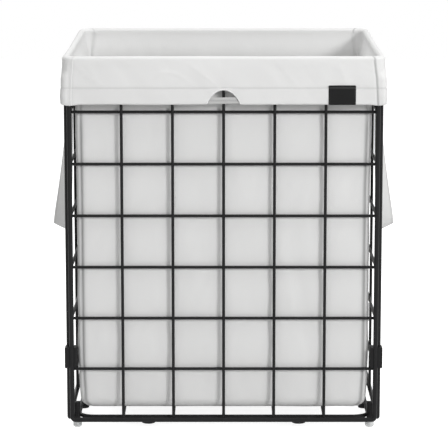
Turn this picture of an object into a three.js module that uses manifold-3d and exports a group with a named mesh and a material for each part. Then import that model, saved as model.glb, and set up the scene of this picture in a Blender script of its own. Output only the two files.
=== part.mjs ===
// Laundry hamper with two bins: a wire frame that carries a fabric liner with two compartments.
// Millimetres, +Z up, front towards -Y, origin on the floor at the middle of the footprint.

import * as THREE from 'three';
import { mergeVertices } from 'three/addons/utils/BufferGeometryUtils.js';
import Module from 'manifold-3d';

const wasm = await Module();
wasm.setup();

// Frame
const PANEL_WIDTH = 507; // front and rear rings, tube centre to tube centre
const PANEL_HEIGHT = 605.5; // upright rings, rail centre to rail centre
const FRAME_DEPTH = 385; // front ring to rear ring, tube centre to tube centre
const RAIL_HEIGHT = 17; // floor to the centre of the bottom rails
const TUBE_DIAMETER = 7;
const TUBE_BEND = 4.5; // corner radius of an upright ring, on its centre line
const SIDE_RING_OUTSET = 5.7; // side ring outboard of the front ring
const SIDE_RING_SETBACK = 16; // side ring behind the front ring
const COLUMNS = 6;
const ROWS = 7;
const SIDE_COLUMNS = 2;
const END_COLUMN_EXTRA = 1.5; // how much wider the outer columns are

// Wires
const WIRE_DIAMETER = 4.4;
const WELD_SINK = 0.5; // how far crossing wires are melted into each other
const WIRE_OVERHANG = 1.6; // level wires past the centre of the tube that they lap on

// Floor panel
const FLOOR_TUBE_DIAMETER = 6;
const FLOOR_RING_INSET = 14.9; // floor ring inside the bottom rails, centre to centre
const FLOOR_RING_LIFT = 1.5; // floor ring above the bottom rails, centre to centre
const FLOOR_RING_BEND = 27;
const FLOOR_CROSS_WIRES = 1;

// Posts and glides
const POST_DIAMETER = 10.5;
const POST_TOP = 43;
const POST_DOME = 1.6;
const POST_ANGLE_SHARE = 0.39; // of a quarter turn, from the side towards the front
const GLIDE_WALL = 1.95; // round the post
const GLIDE_HEIGHT = 11;
const GLIDE_SOLE = 3.6;
const GLIDE_EDGE = 2.2; // height of the sole's bevel
const GLIDE_BEVEL = 2.5; // width of the sole's bevel

// Corner clips
const CLIP_HEIGHT = 34.6;
const CLIP_WALL = 2.6;
const CLIP_LOBE = 5.2; // inboard of the front tube
const CLIP_LIP = 1.6; // reach in front of the centre of the front tube
const CLIP_MOUTH = 5.4; // slot that the side tube snaps through
const CLIP_ROUND = 1.5;
const UPPER_CLIP_DROP = 32.9; // its top below the centre of the top rail

// Floor clips
const FLOOR_CLIP_LENGTH = 21.5;
const FLOOR_CLIP_BELLY = 5; // below the bottom rail
const FLOOR_CLIP_LIP = 2; // reach outside the centre of the bottom rail
const FLOOR_CLIP_TONGUE = 12.9; // reach inside the centre of the floor ring
const FLOOR_CLIP_ROUND = 4.5;
const FLOOR_CLIP_SIDE = 126; // front and rear clips, from the middle
const FLOOR_CLIP_BACK = 81.5; // side clips, from the middle

// Liner
const CLOTH = 2; // two layers with their seam
const BAG_POST_GAP = 0.4; // posts to the bag
const BAG_FRONT_GAP = 2.3; // front wires to the bag
const BAG_FLOOR_GAP = 10.8; // floor wires to the bag
const DIVIDER_DROP = 66; // top of the divider below the rim
const RIM_GAP = 0.6; // cloth above the top rails
const CUFF_DROP = 78; // lower edge of the cuff below the rim
const CUFF_FRONT_GAP = 1.9; // front tube to the cuff
const CUFF_SIDE_GAP = 1; // corner clip to the cuff
const CUFF_LEG = 16; // inner leg of the fold

// Notch, tape and patch
const NOTCH_RADIUS = 28.2;
const NOTCH_CENTRE_DROP = 4.7; // centre of the notch below the cuff's edge
const TAPE_HEIGHT = 11;
const TAPE_OVERLAP = 7; // past each side of the notch
const TAPE_THICKNESS = 1;
const PATCH_WIDTH = 44.6;
const PATCH_HEIGHT = 31;
const PATCH_THICKNESS = 1.2;
const PATCH_CENTRE = 193.8; // from the middle

// Carrying straps
const STRAP_WIDTH = 30;
const STRAP_THICKNESS = 1.6;
const STRAP_SPREAD = 55; // centre of a sewn end from the middle
const STRAP_DROP = 234; // cuff's edge to the bottom of the loop
const STRAP_TAB = 34; // sewn length under the cuff
const STRAP_LEAN = 1.9; // how far the inner edge moves in towards the wires
const STRAP_TWIST_POWER = 1.3; // above one, the twist comes lower down

// Clearances
const GAP = 0.3; // between touching pieces
const CUT = 1; // overrun of every cut

// Facets
const TUBE_SIDES = 12;
const WIRE_SIDES = 8;
const ROUND_SIDES = 20;
const BEND_STEPS = 2;
const FLOOR_BEND_STEPS = 3;
const STRAP_STEPS = 26;

// Places that follow from the sizes above
const TUBE_RADIUS = TUBE_DIAMETER / 2;
const WIRE_RADIUS = WIRE_DIAMETER / 2;
const FLOOR_TUBE_RADIUS = FLOOR_TUBE_DIAMETER / 2;
const POST_RADIUS = POST_DIAMETER / 2;
const HALF_WIDTH = PANEL_WIDTH / 2;
const HALF_DEPTH = FRAME_DEPTH / 2;
const SIDE_X = HALF_WIDTH + SIDE_RING_OUTSET;
const SIDE_HALF_DEPTH = HALF_DEPTH - SIDE_RING_SETBACK;
const TOP_RAIL = RAIL_HEIGHT + PANEL_HEIGHT;
const LEVEL_WIRE_INSET = TUBE_RADIUS + WIRE_RADIUS + GAP;
const UPRIGHT_WIRE_INSET = LEVEL_WIRE_INSET - WIRE_DIAMETER + WELD_SINK;
const COLUMN_PITCH = (PANEL_WIDTH - 2 * END_COLUMN_EXTRA) / COLUMNS;
const ROW_PITCH = PANEL_HEIGHT / ROWS;
const FLOOR_X = SIDE_X - FLOOR_RING_INSET;
const FLOOR_Y = HALF_DEPTH - FLOOR_RING_INSET;
const FLOOR_Z = RAIL_HEIGHT + FLOOR_RING_LIFT;
const FLOOR_WIRE_Z = FLOOR_Z + FLOOR_TUBE_RADIUS + GAP + WIRE_RADIUS;
const POST_TURN = POST_ANGLE_SHARE * Math.PI / 2;
const POST_AWAY = FLOOR_RING_BEND + FLOOR_TUBE_RADIUS + POST_RADIUS + GAP;
const POST_X = FLOOR_X - FLOOR_RING_BEND + POST_AWAY * Math.cos(POST_TURN);
const POST_Y = FLOOR_Y - FLOOR_RING_BEND + POST_AWAY * Math.sin(POST_TURN);
const GLIDE_RADIUS = POST_RADIUS + GAP + GLIDE_WALL;
const CLIP_OUTER = SIDE_X + TUBE_RADIUS + CLIP_WALL;
const LOWER_CLIP_BASE = RAIL_HEIGHT + ROW_PITCH + WIRE_RADIUS + GAP;
const UPPER_CLIP_BASE = TOP_RAIL - UPPER_CLIP_DROP - CLIP_HEIGHT;
const BAG_X = POST_X - POST_RADIUS - BAG_POST_GAP;
const BAG_Y = HALF_DEPTH - LEVEL_WIRE_INSET - WIRE_RADIUS - BAG_FRONT_GAP;
const BAG_BOTTOM = FLOOR_WIRE_Z + WIRE_RADIUS + BAG_FLOOR_GAP;
const RIM = TOP_RAIL + TUBE_RADIUS + RIM_GAP + CLOTH;
const CUFF_EDGE = RIM - CUFF_DROP;
const CUFF_X = CLIP_OUTER + CUFF_SIDE_GAP + CLOTH;
const CUFF_Y = HALF_DEPTH + TUBE_RADIUS + CUFF_FRONT_GAP + CLOTH;
const LEG_EDGE = RIM - CUFF_LEG;
const STRAP_X = CUFF_X - CLOTH - GAP - STRAP_THICKNESS / 2;

// Materials
const powderCoat = new THREE.MeshStandardMaterial({ color: 0x1c1c1d, roughness: 0.45, metalness: 0.5 });
const blackPlastic = new THREE.MeshStandardMaterial({ color: 0x18181a, roughness: 0.55, metalness: 0 });
const clearPlastic = new THREE.MeshStandardMaterial({ color: 0xd2d4d4, roughness: 0.3, metalness: 0 });
const fabric = new THREE.MeshStandardMaterial({ color: 0xdedddb, roughness: 0.9, metalness: 0 });
const tapeFabric = new THREE.MeshStandardMaterial({ color: 0xcfcecb, roughness: 0.85, metalness: 0 });
const patchLeather = new THREE.MeshStandardMaterial({ color: 0x242423, roughness: 0.6, metalness: 0 });

const hamper = new THREE.Group();
const SIDES = [['left', -1], ['right', 1]];
const ENDS = [['front', -1], ['rear', 1]];

// Adds a copy of a geometry, dressed in its material, under its own name.
function addPiece(name, geometry, material) {
  const piece = new THREE.Mesh(geometry, material.clone());
  piece.name = name;
  hamper.add(piece);
  return piece;
}

// A closed geometry as a solid that can be joined and cut.
function toSolid(geometry) {
  const bare = geometry.index ? geometry.toNonIndexed() : geometry.clone();
  bare.deleteAttribute('normal');
  bare.deleteAttribute('uv');
  const merged = mergeVertices(bare);
  const mesh = new wasm.Mesh({
    numProp: 3,
    vertProperties: new Float32Array(merged.attributes.position.array),
    triVerts: new Uint32Array(merged.index.array),
  });
  return new wasm.Manifold(mesh);
}

// The surface of a solid as a geometry.
function toGeometry(solid) {
  const mesh = solid.getMesh();
  const geometry = new THREE.BufferGeometry();
  geometry.setAttribute('position', new THREE.BufferAttribute(new Float32Array(mesh.vertProperties), 3));
  geometry.setIndex(new THREE.BufferAttribute(new Uint32Array(mesh.triVerts), 1));
  geometry.computeVertexNormals();
  return geometry;
}

// All the given geometries as one solid.
function join(geometries) {
  return geometries.map(toSolid).reduce((whole, next) => whole.add(next));
}

// A block between two opposite corners.
function block(low, high) {
  const size = new THREE.Vector3().subVectors(high, low);
  const middle = new THREE.Vector3().addVectors(low, high).multiplyScalar(1 / 2);
  return new THREE.BoxGeometry(size.x, size.y, size.z).translate(middle.x, middle.y, middle.z);
}

// A straight round bar between two points, with a ridge towards each axis.
function bar(from, to, radius, sides) {
  const run = new THREE.Vector3().subVectors(to, from);
  const up = new THREE.Vector3(0, 1, 0);
  const turn = new THREE.Quaternion().setFromUnitVectors(up, run.clone().normalize());
  const middle = new THREE.Vector3().addVectors(from, to).multiplyScalar(1 / 2);
  const geometry = new THREE.CylinderGeometry(radius, radius, run.length(), sides);
  return geometry.applyQuaternion(turn).translate(middle.x, middle.y, middle.z);
}

// A rounded rectangle about the origin, counter-clockwise.
function roundedRectangle(halfWidth, halfHeight, radius) {
  const x = halfWidth - radius;
  const y = halfHeight - radius;
  const outline = new THREE.Shape();
  outline.moveTo(-x, -halfHeight);
  outline.lineTo(x, -halfHeight);
  outline.absarc(x, -y, radius, -Math.PI / 2, 0);
  outline.lineTo(halfWidth, y);
  outline.absarc(x, y, radius, 0, Math.PI / 2);
  outline.lineTo(-x, halfHeight);
  outline.absarc(-x, y, radius, Math.PI / 2, Math.PI);
  outline.lineTo(-halfWidth, -y);
  outline.absarc(-x, -y, radius, Math.PI, Math.PI * 3 / 2);
  return outline;
}

// A round tube that follows a closed outline in the XY plane, mitred at each point.
function ringTube(outline, bendSteps, radius) {
  const points = outline.getPoints(bendSteps);
  if (points[0].distanceTo(points[points.length - 1]) < radius / points.length) points.pop();
  const positions = [];
  const faces = [];
  const count = points.length;
  points.forEach((point, station) => {
    const before = point.clone().sub(points[(station + count - 1) % count]).normalize();
    const after = points[(station + 1) % count].clone().sub(point).normalize();
    const along = before.clone().add(after).normalize();
    const outward = new THREE.Vector2(along.y, -along.x);
    const mitre = 1 / outward.dot(new THREE.Vector2(before.y, -before.x));
    for (let side = 0; side < TUBE_SIDES; side += 1) {
      const angle = 2 * Math.PI * side / TUBE_SIDES;
      const reach = radius * mitre * Math.cos(angle);
      positions.push(point.x + outward.x * reach, point.y + outward.y * reach, radius * Math.sin(angle));
      const next = (station + 1) % count;
      const round = (side + 1) % TUBE_SIDES;
      const [a, b] = [station * TUBE_SIDES + side, next * TUBE_SIDES + side];
      const [c, d] = [next * TUBE_SIDES + round, station * TUBE_SIDES + round];
      faces.push(a, b, c, a, c, d);
    }
  });
  const geometry = new THREE.BufferGeometry();
  geometry.setAttribute('position', new THREE.Float32BufferAttribute(positions, 3));
  geometry.setIndex(faces);
  geometry.computeVertexNormals();
  return geometry;
}

// A flat outline of [across, up] points, pushed along X or Y from one place to another.
function profileAlong(axis, outline, from, to) {
  const shape = new THREE.Shape(outline.map(([across, up]) => new THREE.Vector2(across, up)));
  const geometry = new THREE.ExtrudeGeometry(shape, { depth: to - from, bevelEnabled: false });
  const [x, y, z] = [new THREE.Vector3(1, 0, 0), new THREE.Vector3(0, 1, 0), new THREE.Vector3(0, 0, 1)];
  const basis = new THREE.Matrix4();
  if (axis === 'x') basis.makeBasis(y, z, x).setPosition(from, 0, 0);
  else basis.makeBasis(x, z, y.negate()).setPosition(0, to, 0);
  return geometry.applyMatrix4(basis);
}

// A shape in the XY plane, pushed up from one height to another.
function shapeUp(shape, from, to, curveSegments) {
  const settings = { depth: to - from, bevelEnabled: false, curveSegments };
  const geometry = new THREE.ExtrudeGeometry(shape, settings);
  return geometry.translate(0, 0, from);
}

// Front and rear panels: an upright ring, and wires welded across it.
function buildEndPanel(name, end) {
  const y = end * HALF_DEPTH;
  const outline = roundedRectangle(HALF_WIDTH, PANEL_HEIGHT / 2, TUBE_BEND);
  const ring = ringTube(outline, BEND_STEPS, TUBE_RADIUS);
  ring.rotateX(Math.PI / 2).translate(0, y, RAIL_HEIGHT + PANEL_HEIGHT / 2);
  addPiece(`${name}_ring`, ring, powderCoat);

  const wires = [];
  const reach = HALF_WIDTH + WIRE_OVERHANG;
  const levelY = y - end * LEVEL_WIRE_INSET;
  for (let row = 1; row < ROWS; row += 1) {
    const z = RAIL_HEIGHT + row * ROW_PITCH;
    wires.push(levelWire(new THREE.Vector3(-reach, levelY, z), new THREE.Vector3(reach, levelY, z)));
  }
  for (let column = 1; column < COLUMNS; column += 1) {
    wires.push(uprightWire((column - COLUMNS / 2) * COLUMN_PITCH, y - end * UPRIGHT_WIRE_INSET));
  }
  addPiece(`${name}_grid`, toGeometry(join(wires)), powderCoat);
}

// Side panels, set outboard of the end panels and between them.
function buildSidePanel(name, side) {
  const x = side * SIDE_X;
  const outline = roundedRectangle(SIDE_HALF_DEPTH, PANEL_HEIGHT / 2, TUBE_BEND);
  const ring = ringTube(outline, BEND_STEPS, TUBE_RADIUS);
  ring.rotateX(Math.PI / 2).rotateZ(Math.PI / 2).translate(x, 0, RAIL_HEIGHT + PANEL_HEIGHT / 2);
  addPiece(`${name}_ring`, ring, powderCoat);

  const wires = [];
  const reach = SIDE_HALF_DEPTH + WIRE_OVERHANG;
  const levelX = x - side * LEVEL_WIRE_INSET;
  for (let row = 1; row < ROWS; row += 1) {
    const z = RAIL_HEIGHT + row * ROW_PITCH;
    wires.push(levelWire(new THREE.Vector3(levelX, -reach, z), new THREE.Vector3(levelX, reach, z)));
  }
  for (let column = 1; column < SIDE_COLUMNS; column += 1) {
    const y = (column / SIDE_COLUMNS - 1 / 2) * 2 * SIDE_HALF_DEPTH;
    wires.push(uprightWire(x - side * UPRIGHT_WIRE_INSET, y));
  }
  addPiece(`${name}_grid`, toGeometry(join(wires)), powderCoat);
}

function levelWire(from, to) {
  return bar(from, to, WIRE_RADIUS, WIRE_SIDES);
}

// An upright wire that butts on the rails above and below it.
function uprightWire(x, y) {
  const low = RAIL_HEIGHT + TUBE_RADIUS + GAP;
  const high = TOP_RAIL - TUBE_RADIUS - GAP;
  return bar(new THREE.Vector3(x, y, low), new THREE.Vector3(x, y, high), WIRE_RADIUS, WIRE_SIDES);
}

// Floor panel: a flat ring, wires that lap on it from front to back, and a cross wire under them.
function buildFloor() {
  const outline = roundedRectangle(FLOOR_X, FLOOR_Y, FLOOR_RING_BEND);
  const ring = ringTube(outline, FLOOR_BEND_STEPS, FLOOR_TUBE_RADIUS).translate(0, 0, FLOOR_Z);
  addPiece('floor_ring', ring, powderCoat);

  const wires = [];
  const crossZ = FLOOR_WIRE_Z - WIRE_DIAMETER + WELD_SINK;
  const reach = FLOOR_Y + WIRE_OVERHANG;
  const crossReach = FLOOR_X - FLOOR_TUBE_RADIUS - GAP;
  for (let column = 1; column < COLUMNS; column += 1) {
    const x = (column - COLUMNS / 2) * COLUMN_PITCH;
    const from = new THREE.Vector3(x, -reach, FLOOR_WIRE_Z);
    wires.push(levelWire(from, new THREE.Vector3(x, reach, FLOOR_WIRE_Z)));
  }
  for (let cross = 1; cross <= FLOOR_CROSS_WIRES; cross += 1) {
    const y = (cross / (FLOOR_CROSS_WIRES + 1) - 1 / 2) * 2 * FLOOR_Y;
    const from = new THREE.Vector3(-crossReach, y, crossZ);
    wires.push(levelWire(from, new THREE.Vector3(crossReach, y, crossZ)));
  }
  addPiece('floor_grid', toGeometry(join(wires)), powderCoat);
}

// A post stands against each rounded corner of the floor ring and ends in a clear glide.
function buildPost(name, side, end) {
  const [x, y] = [side * POST_X, end * POST_Y];
  const post = new THREE.LatheGeometry([
    new THREE.Vector2(0, GLIDE_SOLE + GAP),
    new THREE.Vector2(POST_RADIUS, GLIDE_SOLE + GAP),
    new THREE.Vector2(POST_RADIUS, POST_TOP - POST_DOME),
    new THREE.Vector2(POST_RADIUS - POST_DOME, POST_TOP),
    new THREE.Vector2(0, POST_TOP),
  ], ROUND_SIDES);
  post.rotateX(Math.PI / 2).translate(x, y, 0);
  addPiece(`post_${name}`, post, powderCoat);

  const socketRadius = POST_RADIUS + GAP;
  const glide = new THREE.LatheGeometry([
    new THREE.Vector2(0, 0),
    new THREE.Vector2(GLIDE_RADIUS - GLIDE_BEVEL, 0),
    new THREE.Vector2(GLIDE_RADIUS, GLIDE_EDGE),
    new THREE.Vector2(GLIDE_RADIUS, GLIDE_HEIGHT),
    new THREE.Vector2(socketRadius, GLIDE_HEIGHT),
    new THREE.Vector2(socketRadius, GLIDE_SOLE),
    new THREE.Vector2(0, GLIDE_SOLE),
  ], ROUND_SIDES);
  glide.rotateX(Math.PI / 2).translate(x, y, 0);
  addPiece(`glide_${name}`, glide, clearPlastic);
}

// A corner clip holds the uprights of an end ring and a side ring together.
function buildCornerClip(name, side, end, base) {
  const top = base + CLIP_HEIGHT;
  const frontEdge = -CLIP_LIP;
  const backEdge = SIDE_RING_SETBACK + TUBE_RADIUS + CLIP_WALL;
  const outerEdge = CLIP_OUTER - HALF_WIDTH;
  const innerEdge = -TUBE_RADIUS - CLIP_LOBE;
  const outline = roundedRectangle((outerEdge - innerEdge) / 2, (backEdge - frontEdge) / 2, CLIP_ROUND);
  const body = shapeUp(outline, base, top, BEND_STEPS);
  const bodyX = side * (HALF_WIDTH + (outerEdge + innerEdge) / 2);
  const bodyY = end * (HALF_DEPTH - (backEdge + frontEdge) / 2);
  body.translate(bodyX, bodyY, 0);

  const [low, high] = [base - CUT, top + CUT];
  const sideX = side * SIDE_X;
  const sideY = end * SIDE_HALF_DEPTH;
  const endHole = uprightHole(side * HALF_WIDTH, end * HALF_DEPTH, low, high);
  const sideHole = uprightHole(sideX, sideY, low, high);
  const mouthEnd = side * (CLIP_OUTER + CUT);
  const mouth = block(
    new THREE.Vector3(Math.min(sideX, mouthEnd), sideY - CLIP_MOUTH / 2, low),
    new THREE.Vector3(Math.max(sideX, mouthEnd), sideY + CLIP_MOUTH / 2, high),
  );
  const clip = toSolid(body).subtract(toSolid(endHole)).subtract(toSolid(sideHole))
    .subtract(toSolid(mouth));
  addPiece(name, toGeometry(clip), blackPlastic);
}

// The room that a clip leaves round an upright tube.
function uprightHole(x, y, low, high) {
  const from = new THREE.Vector3(x, y, low);
  return bar(from, new THREE.Vector3(x, y, high), TUBE_RADIUS + GAP, TUBE_SIDES);
}

// A floor clip cradles a bottom rail and the floor ring from below. Built for the right side,
// then turned to its own side about the upright axis.
function buildFloorClip(name, railDistance, along, turn) {
  const half = FLOOR_CLIP_LENGTH / 2;
  const inner = FLOOR_RING_INSET + FLOOR_CLIP_TONGUE;
  const top = FLOOR_Z;
  const height = top - RAIL_HEIGHT + TUBE_RADIUS + FLOOR_CLIP_BELLY;
  const acrossHalf = (inner + FLOOR_CLIP_LIP) / 2;
  const acrossMiddle = (inner - FLOOR_CLIP_LIP) / 2;

  const lengthways = roundedRectangle(half, height, FLOOR_CLIP_ROUND);
  const crossways = roundedRectangle(acrossHalf, height, FLOOR_CLIP_ROUND);
  const long = shapeUp(lengthways, -acrossHalf, acrossHalf, BEND_STEPS);
  long.rotateX(Math.PI / 2).rotateZ(Math.PI / 2).translate(-acrossMiddle, 0, top);
  const wide = shapeUp(crossways, -half, half, BEND_STEPS);
  wide.rotateX(Math.PI / 2).translate(-acrossMiddle, 0, top);
  const upperHalf = block(
    new THREE.Vector3(-inner - CUT, -half - CUT, top),
    new THREE.Vector3(FLOOR_CLIP_LIP + CUT, half + CUT, top + height + CUT),
  );

  const reach = half + CUT;
  const railFrom = new THREE.Vector3(0, -reach, RAIL_HEIGHT);
  const railTo = new THREE.Vector3(0, reach, RAIL_HEIGHT);
  const rail = bar(railFrom, railTo, TUBE_RADIUS + GAP, TUBE_SIDES);
  const ringFrom = new THREE.Vector3(-FLOOR_RING_INSET, -reach, FLOOR_Z);
  const ringTo = new THREE.Vector3(-FLOOR_RING_INSET, reach, FLOOR_Z);
  const ring = bar(ringFrom, ringTo, FLOOR_TUBE_RADIUS + GAP, TUBE_SIDES);
  const clip = toSolid(long).intersect(toSolid(wide)).subtract(toSolid(upperHalf))
    .subtract(toSolid(rail)).subtract(toSolid(ring));
  const piece = toGeometry(clip).translate(railDistance, along, 0).rotateZ(turn);
  addPiece(name, piece, blackPlastic);
}

function buildFloorClips() {
  const turns = { right: 0, rear: Math.PI / 2, left: Math.PI, front: -Math.PI / 2 };
  for (const [endName] of ENDS) {
    for (const [sideName, side] of SIDES) {
      const along = turns[endName] > 0 ? -side * FLOOR_CLIP_SIDE : side * FLOOR_CLIP_SIDE;
      buildFloorClip(`floor_clip_${endName}_${sideName}`, HALF_DEPTH, along, turns[endName]);
    }
  }
  for (const [sideName, side] of SIDES) {
    for (const [endName, end] of ENDS) {
      const along = side * end * FLOOR_CLIP_BACK;
      buildFloorClip(`floor_clip_${sideName}_${endName}`, SIDE_X, along, turns[sideName]);
    }
  }
}

// The bag: four walls, a divider between the bins and a bottom under each bin.
function buildBag() {
  const wallTop = LEG_EDGE - GAP;
  const wallBase = BAG_BOTTOM + CLOTH + GAP;
  for (const [name, end] of ENDS) {
    const [near, far] = [end * BAG_Y, end * (BAG_Y - CLOTH)];
    const wall = block(
      new THREE.Vector3(-BAG_X, Math.min(near, far), wallBase),
      new THREE.Vector3(BAG_X, Math.max(near, far), wallTop),
    );
    addPiece(`bag_${name}`, wall, fabric);
  }
  const sideReach = BAG_Y - CLOTH - GAP;
  for (const [name, side] of SIDES) {
    const [near, far] = [side * BAG_X, side * (BAG_X - CLOTH)];
    const wall = block(
      new THREE.Vector3(Math.min(near, far), -sideReach, wallBase),
      new THREE.Vector3(Math.max(near, far), sideReach, wallTop),
    );
    addPiece(`bag_${name}`, wall, fabric);
    const [inner, outer] = [side * GAP / 2, side * BAG_X];
    const bottom = block(
      new THREE.Vector3(Math.min(inner, outer), -BAG_Y, BAG_BOTTOM),
      new THREE.Vector3(Math.max(inner, outer), BAG_Y, BAG_BOTTOM + CLOTH),
    );
    addPiece(`bag_bottom_${name}`, bottom, fabric);
  }
  const divider = block(
    new THREE.Vector3(-CLOTH / 2, -sideReach, wallBase),
    new THREE.Vector3(CLOTH / 2, sideReach, RIM - DIVIDER_DROP),
  );
  addPiece('bag_divider', divider, fabric);
}

// The cuff: cloth that rises from the bag, folds over the top rails and hangs outside them.
function foldOutline(outer, inner, cuffEdge) {
  return [
    [outer, cuffEdge],
    [outer - CLOTH, cuffEdge],
    [outer - CLOTH, RIM - CLOTH],
    [inner, RIM - CLOTH],
    [inner, LEG_EDGE],
    [inner - CLOTH, LEG_EDGE],
    [inner - CLOTH, RIM],
    [outer, RIM],
  ];
}

function buildEndCuff(name, end) {
  const outline = foldOutline(CUFF_Y, BAG_Y, CUFF_EDGE).map(([across, up]) => [end * across, up]);
  const fold = toSolid(profileAlong('x', outline, -BAG_X, BAG_X));
  const [near, far] = [end * CUFF_Y, end * (CUFF_Y - CLOTH)];
  const skirt = toSolid(block(
    new THREE.Vector3(-CUFF_X, Math.min(near, far), CUFF_EDGE),
    new THREE.Vector3(CUFF_X, Math.max(near, far), RIM),
  ));
  let cuff = fold.add(skirt);
  if (end < 0) cuff = cuff.subtract(toSolid(notchCutter()));
  addPiece(`cuff_${name}`, toGeometry(cuff), fabric);
}

// The half-moon notch in the middle of the front cuff's lower edge.
function notchCutter() {
  const z = CUFF_EDGE - NOTCH_CENTRE_DROP;
  const from = new THREE.Vector3(0, -CUFF_Y - CUT, z);
  const to = new THREE.Vector3(0, CLOTH + CUT - CUFF_Y, z);
  return bar(from, to, NOTCH_RADIUS, 2 * ROUND_SIDES);
}

function buildSideCuff(name, side) {
  const outline = foldOutline(CUFF_X, BAG_X, CUFF_EDGE).map(([across, up]) => [side * across, up]);
  const reach = CUFF_Y - CLOTH - GAP;
  const foldReach = BAG_Y - CLOTH - GAP;
  const fold = toSolid(profileAlong('y', outline, -foldReach, foldReach));
  const [near, far] = [side * CUFF_X, side * (CUFF_X - CLOTH)];
  const skirt = toSolid(block(
    new THREE.Vector3(Math.min(near, far), -reach, CUFF_EDGE),
    new THREE.Vector3(Math.max(near, far), reach, RIM),
  ));
  const cornerX = [side * (BAG_X + GAP), side * CUFF_X];
  const corner = toSolid(block(
    new THREE.Vector3(Math.min(...cornerX), -reach, RIM - CLOTH),
    new THREE.Vector3(Math.max(...cornerX), reach, RIM),
  ));
  addPiece(`cuff_${name}`, toGeometry(fold.add(skirt).add(corner)), fabric);
}

// The tape behind the notch, level with the cuff's edge.
function buildTape() {
  const reach = NOTCH_RADIUS + TAPE_OVERLAP;
  const back = CUFF_Y - CLOTH - GAP;
  const tape = block(
    new THREE.Vector3(-reach, -back, CUFF_EDGE),
    new THREE.Vector3(reach, -back + TAPE_THICKNESS, CUFF_EDGE + TAPE_HEIGHT),
  );
  addPiece('notch_tape', tape, tapeFabric);
}

// The bare patch, turned under the hem of the front cuff.
function buildPatch() {
  const face = -CUFF_Y - GAP;
  const front = face - PATCH_THICKNESS;
  const back = CLOTH - CUFF_Y;
  const under = CUFF_EDGE - GAP;
  const outline = [
    [front, under - PATCH_THICKNESS],
    [back, under - PATCH_THICKNESS],
    [back, under],
    [face, under],
    [face, under + PATCH_HEIGHT],
    [front, under + PATCH_HEIGHT],
  ];
  const [from, to] = [PATCH_CENTRE - PATCH_WIDTH / 2, PATCH_CENTRE + PATCH_WIDTH / 2];
  addPiece('cuff_patch', profileAlong('x', outline, from, to), patchLeather);
}

// One place along a strap's loop: its middle, and the directions of its run and its width.
function strapPlace(share) {
  const swing = (share - 1 / 2) * Math.PI;
  const fall = Math.cos(swing);
  const low = CUFF_EDGE - GAP - STRAP_DROP * fall;
  const reach = Math.pow(fall, STRAP_TWIST_POWER);
  const middle = new THREE.Vector3(
    STRAP_X - STRAP_LEAN * fall + reach * STRAP_WIDTH / 2,
    STRAP_SPREAD * Math.sin(swing),
    low,
  );
  const run = new THREE.Vector3(0, STRAP_SPREAD * fall, STRAP_DROP * Math.sin(swing)).normalize();
  const level = Math.sqrt(Math.max(0, 1 - reach * reach));
  const width = new THREE.Vector3(reach, -level * run.z, level * run.y);
  return { middle, run, width };
}

// A flat strap that hangs from two sewn ends and turns edge-out at the bottom of its loop. Its two
// broad faces are split along matching diagonals, which keeps the twisted strap evenly thick.
function strapLoop(side) {
  const positions = [];
  const faces = [];
  for (let step = 0; step <= STRAP_STEPS; step += 1) {
    const { middle, run, width } = strapPlace(step / STRAP_STEPS);
    const halfWidth = width.clone().multiplyScalar(STRAP_WIDTH / 2);
    const halfThick = run.clone().cross(width).normalize().multiplyScalar(STRAP_THICKNESS / 2);
    for (const [across, through] of [[1, 1], [-1, 1], [-1, -1], [1, -1]]) {
      const corner = middle.clone().addScaledVector(halfWidth, across).addScaledVector(halfThick, through);
      positions.push(corner.x, corner.y, corner.z);
    }
    if (step === STRAP_STEPS) continue;
    for (let edge = 0; edge < 4; edge += 1) {
      const [a, b] = [4 * step + edge, 4 * step + (edge + 1) % 4];
      if (edge === 2) faces.push(a, b, a + 4, b, b + 4, a + 4);
      else faces.push(a, b, b + 4, a, b + 4, a + 4);
    }
  }
  const last = 4 * STRAP_STEPS;
  faces.push(0, 3, 2, 0, 2, 1, last, last + 1, last + 2, last, last + 2, last + 3);
  const geometry = new THREE.BufferGeometry();
  geometry.setAttribute('position', new THREE.Float32BufferAttribute(positions, 3));
  geometry.setIndex(faces);
  if (side < 0) geometry.rotateZ(Math.PI);
  geometry.computeVertexNormals();
  return geometry;
}

function buildStrap(name, side) {
  addPiece(`strap_${name}`, strapLoop(side), tapeFabric);
  const [inner, outer] = [STRAP_X - STRAP_THICKNESS / 2, STRAP_X + STRAP_THICKNESS / 2];
  for (const [endName, end] of ENDS) {
    const tab = block(
      new THREE.Vector3(inner, -STRAP_WIDTH / 2, CUFF_EDGE),
      new THREE.Vector3(outer, STRAP_WIDTH / 2, CUFF_EDGE + STRAP_TAB),
    );
    tab.translate(0, side * end * STRAP_SPREAD, 0);
    if (side < 0) tab.rotateZ(Math.PI);
    addPiece(`strap_${name}_tab_${endName}`, tab, tapeFabric);
  }
}

for (const [endName, end] of ENDS) buildEndPanel(endName, end);
for (const [sideName, side] of SIDES) buildSidePanel(sideName, side);
buildFloor();
for (const [endName, end] of ENDS) {
  for (const [sideName, side] of SIDES) {
    buildPost(`${endName}_${sideName}`, side, end);
    buildCornerClip(`corner_clip_${endName}_${sideName}_lower`, side, end, LOWER_CLIP_BASE);
    buildCornerClip(`corner_clip_${endName}_${sideName}_upper`, side, end, UPPER_CLIP_BASE);
  }
}
buildFloorClips();
buildBag();
for (const [endName, end] of ENDS) buildEndCuff(endName, end);
for (const [sideName, side] of SIDES) buildSideCuff(sideName, side);
buildTape();
buildPatch();
for (const [sideName, side] of SIDES) buildStrap(sideName, side);

export default hamper;
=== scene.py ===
"""Builds the looks of a two-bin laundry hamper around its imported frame."""

import logging
import math
from dataclasses import dataclass, field
from enum import Enum
from typing import Sequence

import bmesh
import bpy
import numpy as np
from mathutils import Euler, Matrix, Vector, noise


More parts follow.
